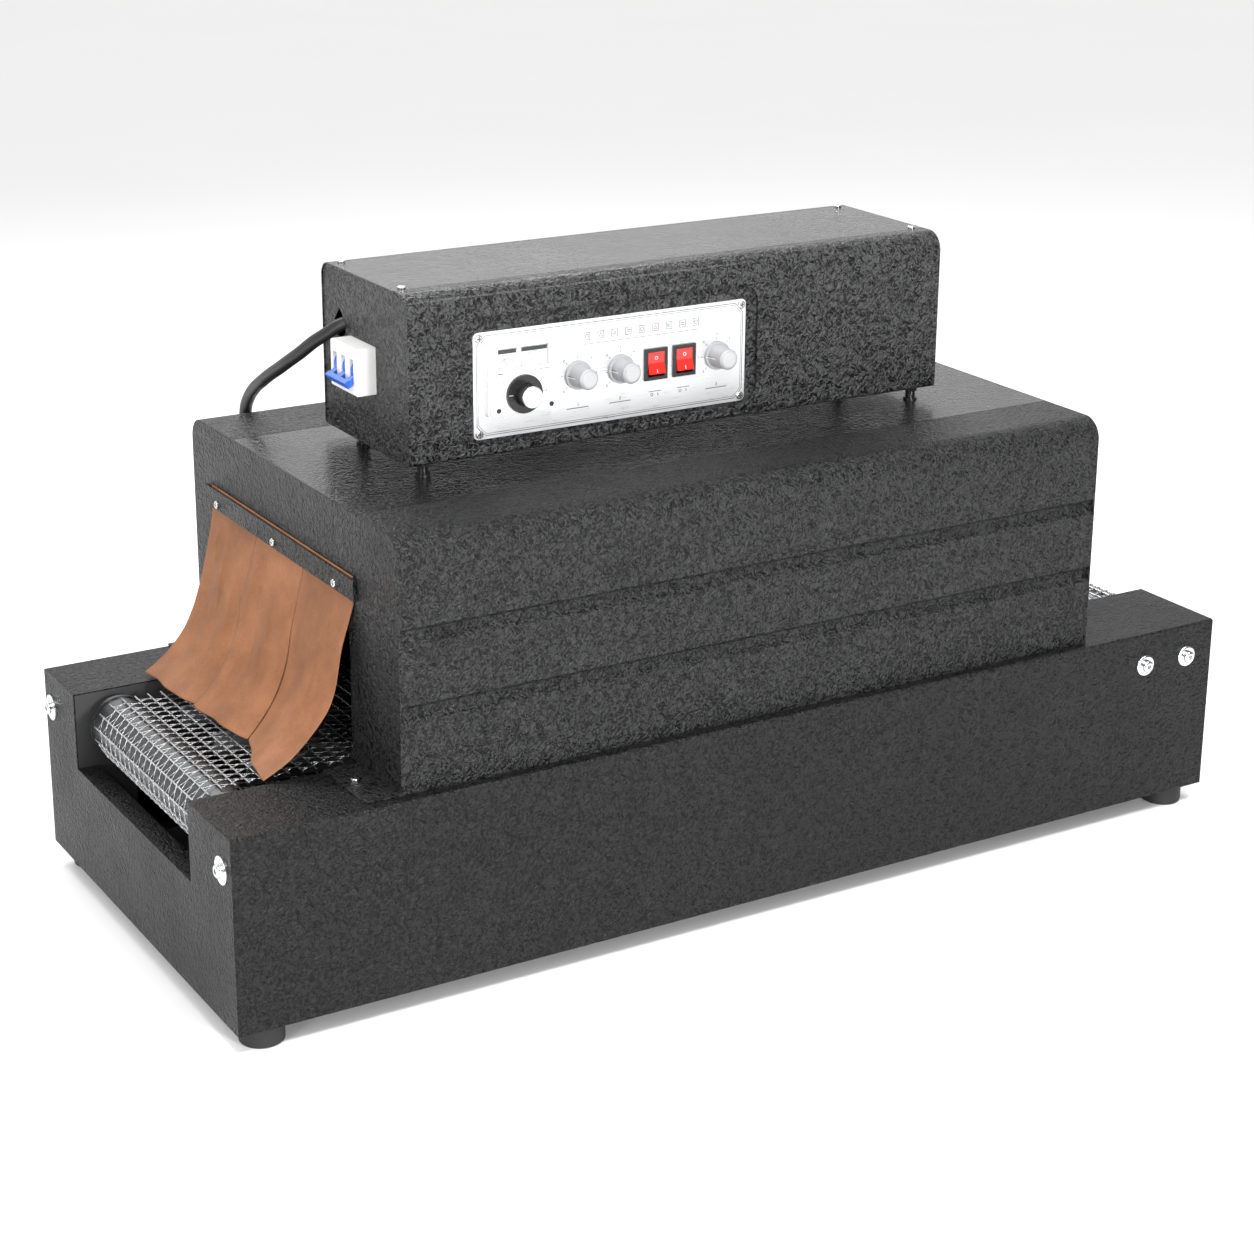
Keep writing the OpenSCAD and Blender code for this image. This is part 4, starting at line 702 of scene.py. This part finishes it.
def symbol_row():
    """Nine framed generic signs above the knobs: black shapes, and the triangles in red."""
    first_x, step, count, mid_z = -116.0, 15.2, 9, 563.0
    half_w, half_h = 3.2, 3.4
    black, red = [], []
    for i in range(count):
        cx = first_x + i * step
        black += outline(cx - half_w, mid_z - half_h, cx + half_w, mid_z + half_h, 0.45)
        kind = i % 4
        if kind == 0:
            black += ring((cx, mid_z), 1.8, LINE, 16)
        elif kind == 1:
            red += stroke([(cx - 1.9, 561.4), (cx, 564.8), (cx + 1.9, 561.4)], LINE, closed=True)
        elif kind == 2:
            for k in (-1.4, 0, 1.4):
                black += stroke([(cx + k, 561.2), (cx + k - 0.6, mid_z), (cx + k, 564.8)], 0.4)
        else:
            for z in (mid_z - 1, mid_z + 1):
                black += stroke([(cx - 2, z), (cx + 2, z)], LINE)
    return black, red


def panel_marks():
    black, red = symbol_row()
    black += notched_border(3.4, 9.5, THICK_LINE) + notched_border(5.2, 8.6, THIN)
    for k, cx in enumerate(KNOB_X):
        black += knob_print(k + 1, cx)
    for cx in ROCKER_X:
        black += rocker_print(cx)
    black += box2(-120.0, 555.2, 9.6, 555.6)
    marks("PanelPrint", black, "y", "panel_plate", "print")
    marks("PanelPrintRed", red, "y", "panel_plate", "print_red")


def case_marks():
    """The line, scale and readout frames on the controller's face, and its two screws."""
    case = outline(*CASE_LINE, LINE)
    case += scale_marks(DIAL, 20.2, 22.0, [210, 180, 150, 120, 60, 30, 0, -30], 1.9, 24.4)
    case += outline(-217.6, 538.2, -208.4, 542.6, THIN)
    case += box2(-216.0, 539.9, -210.0, 540.8)
    case += box2(-172.0, 540.4, -160.0, 541.0)
    marks("CasePrint", case, "y", "controller_case", "print")
    head = [(2.3, -85.4), (2.3, -86.2), (1.9, -86.7), (0.4, -86.8)]
    for k, cx in enumerate((-215.4, -159.4)):
        lathe("CaseScrew_%d" % k, head, (cx, 505.4), "black", HOUSING, 24)


def plate(name, polys, mat, face_y):
    """Shapes 0.2 thick that face the front at face_y."""
    thick = 0.2
    verts, faces = [], []
    for poly in polys:
        base, n = len(verts), len(poly)
        for y in (face_y, face_y + thick):
            verts += [(u * MM, y * MM, w * MM) for u, w in poly]
        faces.append(tuple(range(base, base + n)))
        for i in range(n):
            j = (i + 1) % n
            faces.append((base + j, base + i, base + n + i, base + n + j))
    mesh_object(name, verts, faces, mat, HOUSING, smooth=False)


def meter(name, x0, x1, z0, z1):
    """A small meter: frame, dark band along the top, pale face with a scale and a needle."""
    band_share, start, sweep, ticks, tick = 0.24, 35, 110, 9, 1.2
    band = z1 - (z1 - z0) * band_share
    y = front_y("controller_case", (x0 + x1) / 2, (z0 + z1) / 2) - 0.25
    c = ((x0 + x1) / 2, z0 + 1.0)
    r = (x1 - x0) / 2 - 2.0
    arc = ring(c, r, 0.25, 20, start, start + sweep)
    for k in range(ticks):
        a = start + k * sweep / (ticks - 1)
        arc += stroke([polar(c, r - tick, a), polar(c, r, a)], 0.2)
    inside = [q for q in arc if all(z0 + 0.5 < v < band - 0.3 for _, v in q)]
    plate(name + "Face", box2(x0, z0, x1, band), "meter", y)
    plate(name + "Band", box2(x0, band, x1, z1), "meter_dark", y - 0.05)
    plate(name + "Frame", outline(x0, z0, x1, z1, 0.7), "clear_grey", y - 0.3)
    plate(name + "Scale", inside, "print", y - 0.12)
    needle = stroke([(c[0] - 0.5, z0 + 1.2), (c[0] - r * 0.5, band - 2.2)], THIN)
    plate(name + "Needle", needle, "mark_orange", y - 0.2)


def knob_dress():
    """Pale caps and pointers on the knobs and the dial."""
    cap_r, cap_lip, cap_rim = 7.6, 0.4, 2.0
    for i, (cx, node) in enumerate(zip(KNOB_X, KNOB_NODES), 1):
        y = front_y(node, cx, KNOB_Z)
        cap = [(cap_r, y + 0.2), (cap_r, y - 0.25), (cap_r - cap_lip, y - 0.45),
               (cap_r - cap_rim, y - 0.3), (0.3, y - 0.3)]
        lathe("KnobCap_%d" % i, cap, (cx, KNOB_Z), "clear_grey", "knob_%d" % i)
        pointer = stroke([(cx - 13.2, KNOB_Z), (cx - 8.8, KNOB_Z)], 0.8)
        marks("KnobPointer_%d" % i, pointer, "y", node, "mark_white", "knob_%d" % i)
    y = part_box("controller_dial")[0][1] / MM
    face = [(10.6, y + 0.4), (10.6, y - 0.4), (10.0, y - 1.0), (0.4, y - 1.1)]
    lathe("DialFace", face, DIAL, "cap", "dial")
    pointer = stroke([(DIAL[0] - 16.4, DIAL[1]), (DIAL[0] - 12.4, DIAL[1])], 0.9)
    marks("DialMark", pointer, "y", "controller_dial", "mark_white", "dial")


def rocker_marks():
    for i, (cx, node) in enumerate(zip(ROCKER_X, ROCKER_NODES), 1):
        m = ring((cx, ROCKER_RING_Z), 1.5, LINE, 18) + box2(cx - 0.3, 519.0, cx + 0.3, 522.2)
        marks("RockerMark_%d" % i, m, "y", node, "mark_white", "rocker_%d" % i)


def breaker_marks():
    """Terminal holes and test points drawn dark, as painted shade in their openings, the joints between the
    poles, and the clip at the rail.
    """
    poles, joints, clip_lift = (3.0, 17.0, 31.0), (10.0, 24.0), 0.0012
    dark = []
    for y in poles:
        # The dark discs and rings are painted shade in the terminal holes and test points.
        dark += disc((y, 573.2), 2.3) + ring((y, 503.4), 2.2, 0.6)
        dark += box2(y - 3.4, 563.4, y + 3.4, 564.0)
    for y in joints:
        dark += box2(y - 0.2, 500.0, y + 0.2, 512.0) + box2(y - 0.2, 564.6, y + 0.2, 577.0)
    marks("BreakerMarksAndHoleShade", dark, "x", "breaker_body", "print")
    clip = box2(-8.0, 571.0, -3.6, 576.6)
    marks("BreakerClip", clip, "x", "breaker_body", "brass", lift=clip_lift)


def cross(c):
    half, width = 1.9, 0.7
    return (stroke([(c[0] - half, c[1]), (c[0] + half, c[1])], width)
            + stroke([(c[0], c[1] - half), (c[0], c[1] + half)], width))


def screw_slots():
    """Black crosses on the heads of the pan screws that can be seen: painted shade standing for their cross
    recesses.
    """
    clamp_y, clamp_step, clamp_z = 33.0, 137.0, 373.0
    places = {
        "ClampScrewRecessShade": ("x", [(clamp_y + clamp_step * i, clamp_z) for i in (-1, 0, 1)]),
        "PanelScrewRecessShade": ("y", [(x, z) for x in (-231.5, 57.5) for z in (483.0, 574.0)]),
        "TopScrewRecessShade": ("z", [(x, y) for x in (-293.0, 285.0) for y in (-38.5, 93.0)]
                          + [(-413.5, y) for y in (-176.0, 198.0)]),
    }
    for name, (axis, heads) in places.items():
        # The crosses are flat and black: painted shade laid on the heads where the recesses would be.
        marks(name, [q for c in heads for q in cross(c)], axis, "pan_screws", "black")


panel_marks()
case_marks()
meter("MeterLeft", -215.2, -195.6, 545.2, 563.0)
meter("MeterRight", -190.6, -162.8, 545.2, 563.0)
knob_dress()
rocker_marks()
breaker_marks()
screw_slots()


# ---------------------------------------------------------------- wiring lead, in millimetres
LEAD_R = 6.4
LEAD_ROUTE = [(-299, 62, 569), (-306, 68, 565), (-314, 78, 556), (-321, 92, 546), (-327, 109, 533),
              (-331, 128, 521), (-333, 149, 509), (-334, 170, 498), (-334, 190, 487), (-333, 210, 476),
              (-332, 228, 463), (-331, 242, 447), (-330, 247, 425), (-330, 247, 400), (-330, 247, 376),
              (-330, 247, 352)]


def wiring_lead():
    """The lead as a smooth round sheath along its route, from the box's hole to the elbow."""
    points_each, sides = 6, 24
    n = len(LEAD_ROUTE) * points_each
    path = [smooth_row(LEAD_ROUTE, i / n) * MM for i in range(n + 1)]
    v, f = tube(path, LEAD_R * MM, sides)
    o = mesh_object("WiringLead", v, f, "lead", HOUSING)
    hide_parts("wiring_lead")


wiring_lead()


# ---------------------------------------------------------------- camera
FRAME_PX = 1254.0
FOCAL_PX = 2599.7
CENTRE_PX = (627.0, 552.7)
CAMERA_AT = (-1.316, -2.142, 1.142)
AZIMUTH, ELEVATION, ROLL = -31.10, 18.38, 0.43  # degrees
SENSOR_MM = 36.0


def photo_camera():
    """The photograph's camera, fitted to the edges of the boxes."""
    az, el, roll = (math.radians(a) for a in (AZIMUTH, ELEVATION, ROLL))
    back = Vector((math.sin(az) * math.cos(el), -math.cos(az) * math.cos(el), math.sin(el)))
    level = (-back).cross(Vector((0, 0, 1))).normalized()
    upright = level.cross(-back)
    right = math.cos(roll) * level + math.sin(roll) * upright
    up = -math.sin(roll) * level + math.cos(roll) * upright
    cam = bpy.data.cameras.new("Camera")
    cam.sensor_width = SENSOR_MM
    cam.lens = FOCAL_PX / FRAME_PX * SENSOR_MM
    cam.shift_x = (FRAME_PX / 2 - CENTRE_PX[0]) / FRAME_PX
    cam.shift_y = (CENTRE_PX[1] - FRAME_PX / 2) / FRAME_PX
    o = bpy.data.objects.new("Camera", cam)
    bpy.context.scene.collection.objects.link(o)
    m = Matrix((right, up, back)).transposed().to_4x4()
    m.translation = Vector(CAMERA_AT)
    o.matrix_world = m
    bpy.context.scene.camera = o


photo_camera()


# ---------------------------------------------------------------- studio
FRONT_GREY, BACK_GREY = 0.10, 1.0  # light of the room in front of the machine and behind it
FRONT_SPAN = (-0.3, 0.35)  # the part of the view's Y over which the one turns into the other
FLOOR_HALF = 60.0
SUN_POWER, SUN_SIZE, SUN_TILT = 1.2, 50, (28, -22)
# Name, place, aim, size and power of each soft light
LIGHTS = [
    ("KeyLeft", (-2.4, -1.4, 2.2), (0, 0, 0.25), (0.6, 0.6), 26),
    ("FrontLow", (0.0, -2.3, 0.65), (-0.25, -0.1, 0.5), (0.3, 0.3), 38),
    ("EdgeLeft", (-2.2, -1.2, 0.5), (-0.35, -0.15, 0.45), (0.2, 0.8), 16),
    ("TopBack", (0.2, 1.9, 2.2), (0, 0, 0.4), (2.6, 0.7), 50),
    ("TopFront", (0.3, -1.5, 2.8), (0, 0, 0.3), (2.8, 0.35), 70),
]


def area_light(name, place, aim, size, power):
    light = bpy.data.lights.new(name, "AREA")
    light.shape = "RECTANGLE"
    light.size, light.size_y = size
    light.energy = power
    o = bpy.data.objects.new(name, light)
    bpy.context.scene.collection.objects.link(o)
    o.location = place
    o.rotation_euler = (Vector(aim) - Vector(place)).to_track_quat("-Z", "Y").to_euler()


def room_light():
    """A plain room, dim in front of the machine and white behind it."""
    world = bpy.data.worlds.new("Studio")
    bpy.context.scene.world = world
    world.use_nodes = True
    tree = world.node_tree
    background = tree.nodes["Background"]
    coord = tree.nodes.new("ShaderNodeTexCoord")
    split = tree.nodes.new("ShaderNodeSeparateXYZ")
    span = tree.nodes.new("ShaderNodeMapRange")
    span.inputs["From Min"].default_value, span.inputs["From Max"].default_value = FRONT_SPAN
    link(tree, coord.outputs["Generated"], split.inputs["Vector"])
    link(tree, split.outputs["Y"], span.inputs["Value"])
    tones = [(0.0, grey(FRONT_GREY)), (1.0, grey(BACK_GREY))]
    link(tree, ramp(tree, span.outputs["Result"], tones), background.inputs["Color"])
    background.inputs["Strength"].default_value = 1.0


def pale_floor():
    m, tree, bsdf = new_material("FloorWhite")
    tones = [(0.3, grey(0.905)), (0.7, grey(0.915))]
    link(tree, ramp(tree, noise(tree, object_coords(tree), 2.0, 1.0), tones), bsdf.inputs["Base Color"])
    bsdf.inputs["Roughness"].default_value = 0.22
    bsdf.inputs["IOR"].default_value = 1.25
    square = [(x * FLOOR_HALF, y * FLOOR_HALF, 0) for x, y in ((-1, -1), (1, -1), (1, 1), (-1, 1))]
    floor = mesh_object("Floor", square, [(0, 1, 2, 3)], m, smooth=False)


def soft_sun():
    sun = bpy.data.lights.new("SoftSun", "SUN")
    sun.energy = SUN_POWER
    sun.angle = math.radians(SUN_SIZE)
    o = bpy.data.objects.new("SoftSun", sun)
    o.rotation_euler = (math.radians(SUN_TILT[0]), math.radians(SUN_TILT[1]), 0)
    bpy.context.scene.collection.objects.link(o)


room_light()
pale_floor()
soft_sun()
for light in LIGHTS:
    area_light(*light)
bpy.context.scene.view_settings.view_transform = "Standard"
